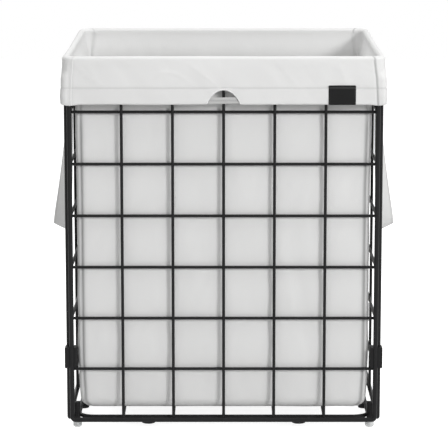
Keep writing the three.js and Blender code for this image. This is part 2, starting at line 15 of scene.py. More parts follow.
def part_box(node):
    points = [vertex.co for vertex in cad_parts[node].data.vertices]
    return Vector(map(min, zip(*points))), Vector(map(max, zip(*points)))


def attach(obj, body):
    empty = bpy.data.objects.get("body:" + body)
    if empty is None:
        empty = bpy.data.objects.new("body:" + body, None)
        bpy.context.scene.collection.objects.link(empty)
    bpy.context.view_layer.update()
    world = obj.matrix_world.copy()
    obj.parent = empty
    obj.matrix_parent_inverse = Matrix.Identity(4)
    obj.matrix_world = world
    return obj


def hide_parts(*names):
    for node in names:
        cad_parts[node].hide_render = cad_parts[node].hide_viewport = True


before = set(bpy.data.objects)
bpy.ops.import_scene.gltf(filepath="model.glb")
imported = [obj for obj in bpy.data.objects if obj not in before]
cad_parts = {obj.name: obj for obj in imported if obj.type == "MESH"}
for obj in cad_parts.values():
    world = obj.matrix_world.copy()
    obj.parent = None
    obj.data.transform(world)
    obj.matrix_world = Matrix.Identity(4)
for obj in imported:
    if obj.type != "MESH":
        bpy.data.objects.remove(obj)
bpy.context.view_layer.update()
MM = 0.001
WHITE = (1.0, 1.0, 1.0, 1.0)
NUMBER_SOCKETS = {float: "NodeSocketFloat", int: "NodeSocketInt"}
log = logging.getLogger("hamper")

Point = tuple[float, float, float]
Socket = bpy.types.NodeSocket
Tree = bpy.types.NodeTree
Node = bpy.types.Node
Piece = bpy.types.Object
Mesh = bpy.types.Mesh


class Body(Enum):
    """The moving bodies that a piece can ride on."""

    FRAME = "frame"
    LINER = "liner"
    STRAP_LEFT = "strap_left"
    STRAP_RIGHT = "strap_right"


class Slot(Enum):
    """The record's material slots."""

    FRAME = "frame"
    CLIP = "clip"
    GLIDE = "glide"
    BAG = "bag"
    STRAP = "strap"
    PATCH = "patch"


class Side(Enum):
    """The two ends of the width, each with the sign of its X."""

    LEFT = -1
    RIGHT = 1


class End(Enum):
    """The two ends of the depth, each with the sign of its Y."""

    FRONT = -1
    REAR = 1


def clamp(value: float) -> float:
    """Holds a value between 0 and 1."""
    return min(max(value, 0.0), 1.0)


def ease(share: float) -> float:
    """Eases a share from 0 to 1 in and out."""
    return share * share * (3 - 2 * share)


@dataclass(frozen=True)
class Ridge:
    """A smooth ridge across a surface, or a groove where its height is negative."""

    height: float
    middle: float
    width: float

    def at(self, value: float | np.ndarray) -> float | np.ndarray:
        """Gives the ridge's height at a place across it."""
        return self.height * np.exp(-(((value - self.middle) / self.width) ** 2))


@dataclass(frozen=True)
class Wrinkle:
    """A layer of cloth wrinkles, as smooth noise with so many waves to the metre."""

    depth: float
    around: float
    upward: float = 0.0
    slant: float = 0.0
    seed: float = 0.0

    def at(self, x: float, y: float, z: float) -> float:
        """Gives the layer's height at a place."""
        spot = (x * self.around + z * self.slant, y * self.around, z * self.upward + self.seed)
        return self.depth * noise.noise(Vector(spot))


def spread(count: int, row: int) -> list[tuple[float, float]]:
    """Lists evenly spaced pairs of shares from 0 to 1, in rows that share the first value."""
    return [(i / (count - 1), k / (row - 1)) for i in range(count) for k in range(row)]


def sheet_faces(rows: int, row: int, flip: bool = False, closed: bool = False,
                turned: bool = False) -> list[tuple[int, ...]]:
    """Lists the faces between neighbouring rows of points.

    Args:
        rows: How many rows of points there are.
        row: How many points a row has.
        flip: Whether the faces look the other way.
        closed: Whether the last row joins the first.
        turned: Whether the faces are split along their other diagonal.

    Returns:
        The corner numbers of each face.
    """
    faces = []
    for i in range(rows if closed else rows - 1):
        for k in range(row - 1):
            a, b = i * row + k, (i + 1) % rows * row + k
            quad = (b, b + 1, a + 1, a) if turned else (a, b, b + 1, a + 1)
            faces.append(quad[::-1] if flip else quad)
    return faces


class NodeBench:
    """Adds and links the nodes of one shader or geometry tree."""

    def __init__(self, tree: Tree) -> None:
        """Starts an empty bench."""
        tree.nodes.clear()
        self.tree = tree

    def add(self, kind: str, inputs: dict | None = None, **settings: object) -> Node:
        """Adds one node.

        Args:
            kind: The node's type name.
            inputs: Values or linked sockets by input name or number.
            **settings: Properties of the node, set before its inputs.

        Returns:
            The new node.
        """
        node = self.tree.nodes.new(kind)
        for key, value in settings.items():
            setattr(node, key, value)
        for key, value in (inputs or {}).items():
            if isinstance(value, Socket):
                self.tree.links.new(value, node.inputs[key])
            else:
                node.inputs[key].default_value = value
        return node

    def math(self, operation: str, first: object, second: object = 0.0) -> Socket:
        """Adds a Math node."""
        inputs = {0: first, 1: second}
        return self.add("ShaderNodeMath", inputs, operation=operation).outputs[0]

    def blend(self, share: object, first: object, second: object) -> Socket:
        """Mixes two colours by a share from 0 to 1."""
        inputs = {"Factor": share, 6: first, 7: second}
        return self.add("ShaderNodeMix", inputs, data_type="RGBA").outputs[2]

    def ramp(self, value: object, low: float, high: float, to_low: float, to_high: float) -> Socket:
        """Maps a value from one span onto another and clamps it.

        Args:
            value: The value or socket that is mapped.
            low: The start of the span it comes in.
            high: The end of that span.
            to_low: What the start becomes.
            to_high: What the end becomes.

        Returns:
            The mapped value's socket.
        """
        inputs = {"Value": value, "From Min": low, "From Max": high, "To Min": to_low, "To Max": to_high}
        return self.add("ShaderNodeMapRange", inputs).outputs["Result"]


def new_group(name: str, kind: str, inputs: dict[str, float | int | str], outputs: dict[str, str]) -> tuple:
    """Makes a node group with named sockets.

    Args:
        name: The group's name.
        kind: ShaderNodeTree or GeometryNodeTree.
        inputs: Default value, or socket type where there is none, by input name.
        outputs: Socket type by output name.

    Returns:
        The group, its bench, its input node and its output node.
    """
    group = bpy.data.node_groups.new(name, kind)
    for label, value in inputs.items():
        socket_type = NUMBER_SOCKETS.get(type(value), value)
        socket = group.interface.new_socket(label, in_out="INPUT", socket_type=socket_type)
        if socket_type != value:
            socket.default_value = value
    for label, socket_type in outputs.items():
        group.interface.new_socket(label, in_out="OUTPUT", socket_type=socket_type)
    bench = NodeBench(group)
    return group, bench, bench.add("NodeGroupInput"), bench.add("NodeGroupOutput")


class SurfaceEffects:
    """The shader node groups that several finishes share, each built once."""

    SLUB_WAVES = 140.0
    THREAD_FULLNESS = 0.55
    GAP_EDGE = 0.18
    COARSE_SIZE_SHARE = 0.28

    def __init__(self) -> None:
        """Builds the three groups."""
        self.weave = self._weave()
        self.grain = self._grain()
        self.mottle = self._mottle()

    def _weave(self) -> Tree:
        """Builds the over-and-under of a plain weave.

        Returns:
            A group that takes a place on the cloth and a thread pitch and gives a height and a gap mask.
        """
        group, bench, start, end = new_group(
            "plain weave", "ShaderNodeTree",
            {"Place": "NodeSocketVector", "Thread Pitch": 0.0009, "Slub": 0.25},
            {"Height": "NodeSocketFloat", "Gap": "NodeSocketFloat"})
        size = start.outputs
        noise_inputs = {"Vector": size["Place"], "Scale": self.SLUB_WAVES, "Detail": 2.0}
        drift = bench.add("ShaderNodeTexNoise", noise_inputs).outputs["Fac"]
        parts = bench.add("ShaderNodeSeparateXYZ", {0: size["Place"]})
        waves = []
        for axis in ("X", "Y"):
            turns = bench.math("DIVIDE", parts.outputs[axis], size["Thread Pitch"])
            turns = bench.math("ADD", turns, bench.math("MULTIPLY", drift, size["Slub"]))
            waves.append(bench.math("SINE", bench.math("MULTIPLY", turns, math.pi)))
        rise = [bench.math("ABSOLUTE", wave) for wave in waves]
        over = bench.math("GREATER_THAN", bench.math("MULTIPLY", waves[0], waves[1]), 0.0)
        warp, weft = (bench.math("POWER", wave, self.THREAD_FULLNESS) for wave in rise)
        under = bench.math("MULTIPLY", bench.math("SUBTRACT", 1.0, over), weft)
        height = bench.math("ADD", bench.math("MULTIPLY", over, warp), under)
        bench.tree.links.new(height, end.inputs["Height"])
        gap = bench.ramp(bench.math("MULTIPLY", rise[0], rise[1]), 0.0, self.GAP_EDGE, 1.0, 0.0)
        bench.tree.links.new(gap, end.inputs["Gap"])
        return group

    def _grain(self) -> Tree:
        """Builds a fine grain from two sizes of noise.

        Returns:
            A group that takes a place and a grain size and gives a height.
        """
        group, bench, start, end = new_group(
            "fine grain", "ShaderNodeTree",
            {"Place": "NodeSocketVector", "Grains per Metre": 900.0, "Coarse Share": 0.5},
            {"Height": "NodeSocketFloat"})
        size = start.outputs
        fine = bench.add("ShaderNodeTexNoise", {
            "Vector": size["Place"], "Scale": size["Grains per Metre"], "Detail": 3.0})
        wide = bench.add("ShaderNodeTexNoise", {
            "Vector": size["Place"], "Detail": 2.0,
            "Scale": bench.math("MULTIPLY", size["Grains per Metre"], self.COARSE_SIZE_SHARE)})
        coarse = bench.math("MULTIPLY", wide.outputs["Fac"], size["Coarse Share"])
        bench.tree.links.new(bench.math("ADD", fine.outputs["Fac"], coarse), end.inputs["Height"])
        return group

    def _mottle(self) -> Tree:
        """Builds a slow change of shade over a surface.

        Returns:
            A group that takes a place, a patch size and a depth and gives a factor about one.
        """
        group, bench, start, end = new_group(
            "slow mottle", "ShaderNodeTree",
            {"Place": "NodeSocketVector", "Patches per Metre": 9.0, "Depth": 0.06},
            {"Shade": "NodeSocketFloat"})
        size = start.outputs
        cloud = bench.add("ShaderNodeTexNoise", {
            "Vector": size["Place"], "Scale": size["Patches per Metre"], "Detail": 4.0})
        swing = bench.math("SUBTRACT", cloud.outputs["Fac"], 0.5)
        swing = bench.math("MULTIPLY", swing, size["Depth"])
        bench.tree.links.new(bench.math("ADD", swing, 1.0), end.inputs["Shade"])
        return group


EFFECTS = SurfaceEffects()


def seen_share(bench: NodeBench) -> Socket:
    """Adds a mask of what the camera sees, straight or by a glossy or clear surface.

    Args:
        bench: The bench of the material or of the world.

    Returns:
        The mask's socket, 1 where it is seen.
    """
    path = bench.add("ShaderNodeLightPath")
    seen = bench.math("MAXIMUM", path.outputs["Is Camera Ray"], path.outputs["Is Glossy Ray"])
    return bench.math("MAXIMUM", seen, path.outputs["Is Transmission Ray"])


@dataclass(frozen=True)
class Finish:
    """A surface finish, whose material is made at the first call and shared."""

    name: str

    def material(self) -> bpy.types.Material:
        """Gives the finish's material, made if it isn't there yet.

        Returns:
            The material.
        """
        made = bpy.data.materials.get(self.name)
        if made is None:
            made = bpy.data.materials.new(self.name)
            made.use_nodes = True
            bench = NodeBench(made.node_tree)
            output = bench.add("ShaderNodeOutputMaterial")
            made.node_tree.links.new(self.dress(bench), output.inputs["Surface"])
        return made

    def dress(self, bench: NodeBench) -> Socket:
        """Adds the finish's shader."""
        raise NotImplementedError(self.name)

    @staticmethod
    def group(bench: NodeBench, tree: Tree, inputs: dict) -> Node:
        """Places a shared effect in the material."""
        return bench.add("ShaderNodeGroup", inputs, node_tree=tree)

    @staticmethod
    def tint(bench: NodeBench, colour: Point, shade: Socket) -> Socket:
        """Multiplies a colour by a changing shade."""
        return bench.add("ShaderNodeVectorMath", {0: colour, 1: shade}, operation="MULTIPLY").outputs[0]

    def shade(self, bench: NodeBench, place: Socket, patches: float, depth: float) -> Socket:
        """Adds a slow change of shade."""
        inputs = {"Place": place, "Patches per Metre": patches, "Depth": depth}
        return self.group(bench, EFFECTS.mottle, inputs).outputs["Shade"]


@dataclass(frozen=True)
class GrainedFinish(Finish):
    """One colour with a slow change of shade and a fine grain in its relief."""

    colour: Point = (0.5, 0.5, 0.5)
    roughness: float = 0.5
    specular: float = 0.5
    varied_gloss: bool = True
    grains: float = 1000.0
    coarse_share: float = 0.5
    relief: float = 0.5
    relief_depth: float = 0.0001
    patches: float = 50.0
    patch_depth: float = 0.3

    def dress(self, bench: NodeBench) -> Socket:
        """Adds the finish's shader.

        Args:
            bench: The material's bench.

        Returns:
            The shader's output socket.
        """
        place = bench.add("ShaderNodeTexCoord").outputs["Object"]
        grain = self.group(bench, EFFECTS.grain, {
            "Place": place, "Grains per Metre": self.grains, "Coarse Share": self.coarse_share})
        shade = self.shade(bench, place, self.patches, self.patch_depth)
        bump = bench.add("ShaderNodeBump", {
            "Height": grain.outputs["Height"], "Strength": self.relief, "Distance": self.relief_depth})
        gloss = bench.math("MULTIPLY", shade, self.roughness) if self.varied_gloss else self.roughness
        return bench.add("ShaderNodeBsdfPrincipled", {
            "Base Color": self.tint(bench, self.colour, shade), "Roughness": gloss,
            "Normal": bump.outputs["Normal"], "Specular IOR Level": self.specular}).outputs[0]


@dataclass(frozen=True)
class PowderCoat(GrainedFinish):
    """Satin black powder coat on steel, with a faint orange peel."""

    colour: Point = (0.014, 0.014, 0.0145)
    roughness: float = 0.42
    specular: float = 0.11
    grains: float = 1100.0
    relief_depth: float = 0.00006
    patches: float = 30.0
    patch_depth: float = 0.5


@dataclass(frozen=True)
class MouldedPlastic(GrainedFinish):
    """Fine matte black moulded plastic."""

    colour: Point = (0.012, 0.012, 0.0125)
    roughness: float = 0.46
    specular: float = 0.12
    grains: float = 2600.0
    coarse_share: float = 0.2
    relief: float = 0.6
    relief_depth: float = 0.00005
    patches: float = 60.0


@dataclass(frozen=True)
class SpunThread(GrainedFinish):
    """Twisted sewing thread."""

    colour: Point = (0.70, 0.70, 0.70)
    roughness: float = 0.7
    varied_gloss: bool = False
    grains: float = 3200.0
    patches: float = 400.0


@dataclass(frozen=True)
class ClearPlastic(Finish):
    """Clear, slightly frosted plastic with a faint grey cast."""

    colour: Point = (0.93, 0.94, 0.94)
    roughness: float = 0.2
    frost_patches: float = 220.0
    frost_depth: float = 0.35
    cast_patches: float = 160.0
    cast_depth: float = 0.1
    clearness: float = 0.35
    bending: float = 1.46

    def dress(self, bench: NodeBench) -> Socket:
        """Adds the clear shader.

        Args:
            bench: The material's bench.

        Returns:
            The shader's output socket.
        """
        place = bench.add("ShaderNodeTexCoord").outputs["Object"]
        frost = self.shade(bench, place, self.frost_patches, self.frost_depth)
        cast = self.shade(bench, place, self.cast_patches, self.cast_depth)
        return bench.add("ShaderNodeBsdfPrincipled", {
            "Base Color": self.tint(bench, self.colour, cast),
            "Roughness": bench.math("MULTIPLY", frost, self.roughness),
            "Transmission Weight": self.clearness, "IOR": self.bending}).outputs[0]


@dataclass(frozen=True)
class WovenCloth(Finish):
    """Plain woven cloth that reads the piece's own cloth map and seam mask; on the liner shell that mask also
    paints shade into the corner grooves and along the hem crease.
    """

    colour: Point = (0.735, 0.735, 0.73)
    seam_and_shade_colour: Point = (0.33, 0.33, 0.33)
    seam_and_shade_share: float = 0.9
    pitch: float = 0.0009
    weave_depth: float = 0.00016
    relief: float = 0.55
    gap_share: float = 0.16
    fibres: float = 700.0
    fibre_share: float = 0.4
    patches: float = 7.0
    patch_depth: float = 0.07
    roughness: float = 0.86
    crown_polish: float = 0.08
    sheen: float = 0.12
    sheen_roughness: float = 0.5
    specular: float = 0.25

    def dress(self, bench: NodeBench) -> Socket:
        """Adds the cloth's shader.

        Args:
            bench: The material's bench.

        Returns:
            The shader's output socket.
        """
        place = bench.add("ShaderNodeUVMap", uv_map="cloth").outputs["UV"]
        weave = self.group(bench, EFFECTS.weave, {"Place": place, "Thread Pitch": self.pitch})
        fibre = self.group(bench, EFFECTS.grain, {"Place": place, "Grains per Metre": self.fibres})
        shade = self.shade(bench, place, self.patches, self.patch_depth)
        # The seam mask darkens the cloth towards the seam colour: seam lines, plus painted shade in the liner
        # shell's corner grooves and hem crease.
        seam = bench.add("ShaderNodeAttribute", attribute_name="seam").outputs["Fac"]
        dark = (*self.seam_and_shade_colour, 1.0)
        gap = bench.math("MULTIPLY", weave.outputs["Gap"], self.gap_share)
        woven = bench.blend(gap, self.tint(bench, self.colour, shade), dark)
        sewn = bench.blend(bench.math("MULTIPLY", seam, self.seam_and_shade_share), woven, dark)
        fuzz = bench.math("MULTIPLY", fibre.outputs["Height"], self.fibre_share)
        bump = bench.add("ShaderNodeBump", {
            "Height": bench.math("ADD", weave.outputs["Height"], fuzz),
            "Strength": self.relief, "Distance": self.weave_depth})
        polished = self.roughness - self.crown_polish
        rough = bench.ramp(weave.outputs["Height"], 0.0, 1.0, self.roughness, polished)
        return bench.add("ShaderNodeBsdfPrincipled", {
            "Base Color": sewn, "Roughness": rough, "Normal": bump.outputs["Normal"],
            "Sheen Weight": self.sheen, "Sheen Roughness": self.sheen_roughness,
            "Specular IOR Level": self.specular}).outputs[0]


@dataclass(frozen=True)
class Leather(Finish):
    """Matte black leather with a fine pebble, with a paler painted highlight where the piece's fold_highlight
    attribute says, broken up by the grain.
    """

    colour: Point = (0.0095, 0.0095, 0.0098)
    highlight_colour: Point = (0.10, 0.10, 0.098)
    highlight_grain_from: float = 0.4
    highlight_grain_least: float = 0.55
    pebbles: float = 950.0
    pebble_edge: float = 0.35
    grains: float = 1500.0
    grain_share: float = 0.5
    relief: float = 0.6
    relief_depth: float = 0.00012
    patches: float = 55.0
    patch_depth: float = 0.5
    roughness: float = 0.66
    valley_roughness: float = 0.76
    specular: float = 0.15

    def dress(self, bench: NodeBench) -> Socket:
        """Adds the leather's shader.

        Args:
            bench: The material's bench.

        Returns:
            The shader's output socket.
        """
        place = bench.add("ShaderNodeTexCoord").outputs["Object"]
        cells = bench.add("ShaderNodeTexVoronoi", {"Vector": place, "Scale": self.pebbles},
                          feature="DISTANCE_TO_EDGE")
        pebble = bench.ramp(cells.outputs["Distance"], 0.0, self.pebble_edge, 0.0, 1.0)
        grain = self.group(bench, EFFECTS.grain, {"Place": place, "Grains per Metre": self.grains})
        fine = grain.outputs["Height"]
        height = bench.math("ADD", pebble, bench.math("MULTIPLY", fine, self.grain_share))
        bump = bench.add("ShaderNodeBump", {
            "Height": height, "Strength": self.relief, "Distance": self.relief_depth})
        shade = self.shade(bench, place, self.patches, self.patch_depth)
        # Painted highlight: the fold_highlight mask, broken up by the fine grain, mixes in the paler
        # highlight colour.
        fold_highlight = bench.add("ShaderNodeAttribute", attribute_name="fold_highlight").outputs["Fac"]
        painted_highlight = bench.math("MULTIPLY", fold_highlight, bench.ramp(fine, self.highlight_grain_from, 1.0, self.highlight_grain_least, 1.0))
        plain = self.tint(bench, self.colour, shade)
        return bench.add("ShaderNodeBsdfPrincipled", {
            "Base Color": bench.blend(painted_highlight, plain, (*self.highlight_colour, 1.0)),
            "Roughness": bench.ramp(pebble, 0.0, 1.0, self.valley_roughness, self.roughness),
            "Normal": bump.outputs["Normal"], "Specular IOR Level": self.specular}).outputs[0]


@dataclass(frozen=True)
class StudioFloor(Finish):
    """A plain white floor that fades to pure white for the camera and keeps shadows."""

    lift: float = 0.88
    colour: Point = (0.70, 0.70, 0.70)
    patches: float = 2.0
    patch_depth: float = 0.02
    roughness: float = 0.9
    specular: float = 0.1

    def dress(self, bench: NodeBench) -> Socket:
        """Adds the floor's shader.

        Args:
            bench: The material's bench.

        Returns:
            The shader's output socket.
        """
        place = bench.add("ShaderNodeTexCoord").outputs["Object"]
        shade = self.shade(bench, place, self.patches, self.patch_depth)
        glow = bench.add("ShaderNodeEmission", {
            "Color": WHITE, "Strength": bench.math("MULTIPLY", seen_share(bench), self.lift)})
        matt = bench.add("ShaderNodeBsdfPrincipled", {
            "Base Color": self.tint(bench, self.colour, shade), "Roughness": self.roughness,
            "Specular IOR Level": self.specular})
        return bench.add("ShaderNodeAddShader", {0: matt.outputs[0], 1: glow.outputs[0]}).outputs[0]


POWDER_COAT = PowderCoat("satin powder coat")
CLIP_PLASTIC = MouldedPlastic("matte clip plastic")
CLEAR_PLASTIC = ClearPlastic("clear glide plastic")
LINER_CLOTH = WovenCloth("liner cloth")
# Painted shade: the bottom binding's dark grey stands for the shade along the bag's rounded bottom edge.
BOTTOM_BINDING_SHADE_CLOTH = WovenCloth("binding cloth", colour=(0.46, 0.46, 0.46), pitch=0.0007)
NOTCH_BINDING = WovenCloth("notch binding", colour=(0.80, 0.80, 0.80), pitch=0.0007)
# Partly painted shade: the tape's grey is its own tone, darkened further to stand for the shade it lies in
# behind the cuff.
NOTCH_TAPE_SHADE_CLOTH = WovenCloth("notch tape with painted shade", colour=(0.50, 0.50, 0.495), seam_and_shade_colour=(0.26, 0.26, 0.26),
                         pitch=0.0011, weave_depth=0.0002)
STRAP_CLOTH = WovenCloth("strap tape", colour=(0.71, 0.71, 0.705), pitch=0.0011, weave_depth=0.0002)
PATCH_LEATHER = Leather("black patch leather")
CLOTH_THREAD = SpunThread("off-white thread", colour=(0.62, 0.62, 0.62))
PATCH_THREAD = SpunThread("black thread", colour=(0.03, 0.03, 0.03))


class PieceMaker:
    """Turns point arrays and node trees into finished pieces."""

    @staticmethod
    def show(name: str, data: bpy.types.ID) -> Piece:
        """Puts a mesh, a lamp or a camera into the scene.

        Args:
            name: The object's name.
            data: What it shows.

        Returns:
            The new object, at the origin.
        """
        piece = bpy.data.objects.new(name, data)
        bpy.context.scene.collection.objects.link(piece)
        return piece

    @classmethod
    def from_points(cls, name: str, points: Sequence, faces: Sequence, finish: Finish) -> Piece:
        """Makes a smooth piece from corner points and faces.

        Args:
            name: The piece's name.
            points: Corner points in metres.
            faces: Corner numbers of each face.
            finish: The surface finish.

        Returns:
            The new object, at the origin.
        """
        mesh = bpy.data.meshes.new(name)
        mesh.from_pydata([tuple(map(float, p)) for p in points], [], faces)
        mesh.validate()
        mesh.shade_smooth()
        mesh.materials.append(finish.material())
        return cls.show(name, mesh)

    @staticmethod
    def map_cloth(piece: Piece, places: Sequence, seam: Sequence | None = None) -> None:
        """Writes the cloth map and the seam mask that the cloth finishes read; on the liner shell the mask
        also carries painted shade.

        Args:
            piece: The cloth piece.
            places: One place on the flat cloth, in metres, for each corner point.
            seam: One mask value for each corner point, or None for no seams.
        """
        mesh = piece.data
        corners = np.empty(len(mesh.loops), dtype=np.int64)
        mesh.loops.foreach_get("vertex_index", corners)
        layer = mesh.uv_layers.new(name="cloth")
        layer.uv.foreach_set("vector", np.asarray(places)[corners].astype(np.float32).ravel())
        mask = mesh.attributes.new("seam", "FLOAT", "POINT")
        values = np.zeros(len(mesh.vertices)) if seam is None else np.asarray(seam)
        mask.data.foreach_set("value", values.astype(np.float32))

    @classmethod
    def cloth(cls, name: str, points: Sequence, faces: Sequence, finish: Finish, thickness: float,
              places: Sequence, seam: Sequence | None = None) -> Piece:
        """Makes a mapped piece of cloth with its real thickness.

        Args:
            name: The piece's name.
            points: Corner points in metres.
            faces: Corner numbers of each face.
            finish: The surface finish.
            thickness: The cloth's thickness.
            places: One place on the flat cloth, in metres, for each corner point.
            seam: One mask value for each corner point, or None for no seams.

        Returns:
            The new object, at the origin.
        """
        piece = cls.from_points(name, points, faces, finish)
        cls.map_cloth(piece, places, seam)
        cls.thicken(piece, thickness)
        return piece

    @classmethod
    def from_tree(cls, name: str, tree: Tree, inputs: dict, path: Mesh | None = None) -> Piece:
        """Runs a geometry tree once and keeps its result as a plain mesh.

        Args:
            name: The piece's name.
            tree: The geometry tree.
            inputs: Values by input name.
            path: The mesh that the tree starts from, if it needs one.

        Returns:
            The new object, at the origin, with no modifier.
        """
        former = cls.show(name + ".former", path or bpy.data.meshes.new(name + ".former"))
        modifier = former.modifiers.new("form", "NODES")
        modifier.node_group = tree
        for socket in tree.interface.items_tree:
            if socket.in_out == "INPUT" and socket.name in inputs:
                modifier[socket.identifier] = inputs[socket.name]
        ready = former.evaluated_get(bpy.context.evaluated_depsgraph_get())
        mesh = bpy.data.meshes.new_from_object(ready)
        bpy.data.objects.remove(former)
        mesh.name = name
        return cls.show(name, mesh)

    @staticmethod
    def thicken(piece: Piece, thickness: float) -> None:
        """Gives a cloth piece its thickness, half to each side.

        Args:
            piece: The cloth piece.
            thickness: The thickness in metres.
        """
        solid = piece.modifiers.new("cloth thickness", "SOLIDIFY")
        solid.thickness = thickness
        solid.offset = 0.0

    @staticmethod
    def settle(piece: Piece, body: Body, slot: Slot, replaces: Sequence[str] = ()) -> None:
        """Hands a finished piece to the frame.

        Args:
            piece: The finished piece.
            body: The body that it rides on.
            slot: The record's material slot; not used.
            replaces: The CAD nodes that it stands for.
        """
        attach(piece, body.value)
        if replaces:
            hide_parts(*replaces)
        log.info("%s: %d faces, rides on %s", piece.name, len(piece.data.polygons), body.value)


class FormTrees:
    """The geometry trees that make tubes, wire grids, rows of stitches and bound edges."""

    WIRE_SIDES = 14
    WIRE_POINTS = 6
    TIP_SHARE = 0.28
    TIP_GIRTH_SHARE = 0.72
    WELD_SHARES = (1.0, 1.0, 0.55)
    UPRIGHT_BEAD_SHARES = (0.95, 0.6, 0.95)
    LEVEL_BEAD_SHARES = (1.0, 0.95, 0.5)
    LEVEL_BEAD_REACH_SHARE = 0.99
    LEVEL_BEAD_DEPTH_SHARE = 0.6
    PIPING_SIDES = 10

    def __init__(self) -> None:
        """Builds the trees."""
        self.ring = self._ring()
        self.grid = self._grid()
        self.stitches = self._stitches()
        self.piping = self._piping()

    @staticmethod
    def _start(name: str, sizes: dict[str, float | int], path: bool = False) -> tuple:
        """Starts a tree whose inputs are its own sizes, then Turn, Place and Finish.

        Args:
            name: The tree's name.
            sizes: Default values by input name.
            path: Whether the tree follows a path mesh.

        Returns:
            The tree, its bench, its input node and its output node.
        """
        inputs = {"Path": "NodeSocketGeometry"} if path else {}
        inputs.update(sizes, Turn="NodeSocketRotation", Place="NodeSocketVector", Finish="NodeSocketMaterial")
        return new_group(name, "GeometryNodeTree", inputs, {"Geometry": "NodeSocketGeometry"})

    @staticmethod
    def _finish(bench: NodeBench, shape: Socket, start: Node, end: Node) -> None:
        """Places, smooths, realizes and dresses a tree's result.

        Args:
            bench: The tree's bench.
            shape: The geometry made so far.
            start: The tree's input node, with Turn, Place and Finish.
            end: The tree's output node.
        """
        placed = bench.add("GeometryNodeTransform", {
            "Geometry": shape, "Rotation": start.outputs["Turn"], "Translation": start.outputs["Place"]})
        whole = bench.add("GeometryNodeRealizeInstances", {0: placed.outputs[0]})
        soft = bench.add("GeometryNodeSetShadeSmooth", {"Geometry": whole.outputs[0], "Shade Smooth": True})
        dressed = bench.add("GeometryNodeSetMaterial", {
            "Geometry": soft.outputs[0], "Material": start.outputs["Finish"]})
        bench.tree.links.new(dressed.outputs[0], end.inputs["Geometry"])

    def _ring(self) -> Tree:
        """Builds the tree of a closed ring of bent tube.

        Returns:
            A tree with the ring's width, height, bend and tube radius as inputs.
        """
        group, bench, start, end = self._start("tube ring", {
            "Width": 0.5, "Height": 0.6, "Bend": 0.005, "Bend Steps": 8, "Tube Radius": 0.0035,
            "Tube Sides": 20})
        size = start.outputs
        outline = bench.add("GeometryNodeCurvePrimitiveQuadrilateral", {
            "Width": size["Width"], "Height": size["Height"]}, mode="RECTANGLE")
        bent = bench.add("GeometryNodeFilletCurve", {
            "Curve": outline.outputs[0], "Count": size["Bend Steps"],
            "Radius": size["Bend"], "Limit Radius": True}, mode="POLY")
        bore = bench.add("GeometryNodeCurvePrimitiveCircle", {
            "Resolution": size["Tube Sides"], "Radius": size["Tube Radius"]}, mode="RADIUS")
        tube = bench.add("GeometryNodeCurveToMesh", {
            "Curve": bent.outputs[0], "Profile Curve": bore.outputs[0]})
        self._finish(bench, tube.outputs[0], start, end)
        return group

    def _wire(self, bench: NodeBench, length: Socket, radius: Socket, axis: str) -> Socket:
        """Adds one straight wire with cropped, slightly rounded ends.

        Args:
            bench: The tree's bench.
            length: The wire's length.
            radius: The wire's radius.
            axis: X or Y, which the wire runs along.

        Returns:
            The wire's geometry.
        """
        last = self.WIRE_POINTS - 1
        half = bench.math("MULTIPLY", length, 0.5)
        ends = [bench.add("ShaderNodeCombineXYZ", {axis: bench.math("MULTIPLY", half, sign)}).outputs[0]
                for sign in (-1.0, 1.0)]
        line = bench.add("GeometryNodeCurvePrimitiveLine", {"Start": ends[0], "End": ends[1]}, mode="POINTS")
        points = bench.add("GeometryNodeResampleCurve", {"Curve": line.outputs[0], "Count": self.WIRE_POINTS})
        index = bench.add("GeometryNodeInputIndex").outputs[0]
        depth = bench.math("MINIMUM", index, bench.math("SUBTRACT", float(last), index))
        tip = bench.math("MULTIPLY", bench.math("MULTIPLY", depth, radius), self.TIP_SHARE)
        side = bench.math("SIGN", bench.math("SUBTRACT", index, last / 2))
        along = bench.math("MULTIPLY", side, bench.math("SUBTRACT", half, tip))
        place = bench.add("ShaderNodeCombineXYZ", {axis: along}).outputs[0]
        moved = bench.add("GeometryNodeSetPosition", {"Geometry": points.outputs[0], "Position": place})
        bore = bench.add("GeometryNodeCurvePrimitiveCircle", {
            "Resolution": self.WIRE_SIDES, "Radius": radius}, mode="RADIUS")
        girth = bench.ramp(depth, 0.0, 1.0, self.TIP_GIRTH_SHARE, 1.0)
        return bench.add("GeometryNodeCurveToMesh", {
            "Curve": moved.outputs[0], "Profile Curve": bore.outputs[0], "Scale": girth,
            "Fill Caps": True}).outputs[0]

    @staticmethod
    def _row(bench: NodeBench, axis: str, run: tuple, across: object, depth: object,
             shape: Socket) -> Socket:
        """Adds a row of evenly spaced copies.

        Args:
            bench: The tree's bench.
            axis: X or Y, which the row runs along.
            run: How many copies, where the first one stands and the distance to the next.
            across: Where the row stands across its own direction.
            depth: How far behind the plane the row stands.
            shape: The geometry that is copied.

        Returns:
            The row's geometry.
        """
        count, first, pitch = run
        other = "Y" if axis == "X" else "X"
        start = bench.add("ShaderNodeCombineXYZ", {axis: first, other: across, "Z": depth})
        step = bench.add("ShaderNodeCombineXYZ", {axis: pitch})
        line = bench.add("GeometryNodeMeshLine", {
            "Count": count, "Start Location": start.outputs[0], "Offset": step.outputs[0]}, mode="OFFSET")
        return bench.add("GeometryNodeInstanceOnPoints", {
            "Points": line.outputs[0], "Instance": shape}).outputs[0]

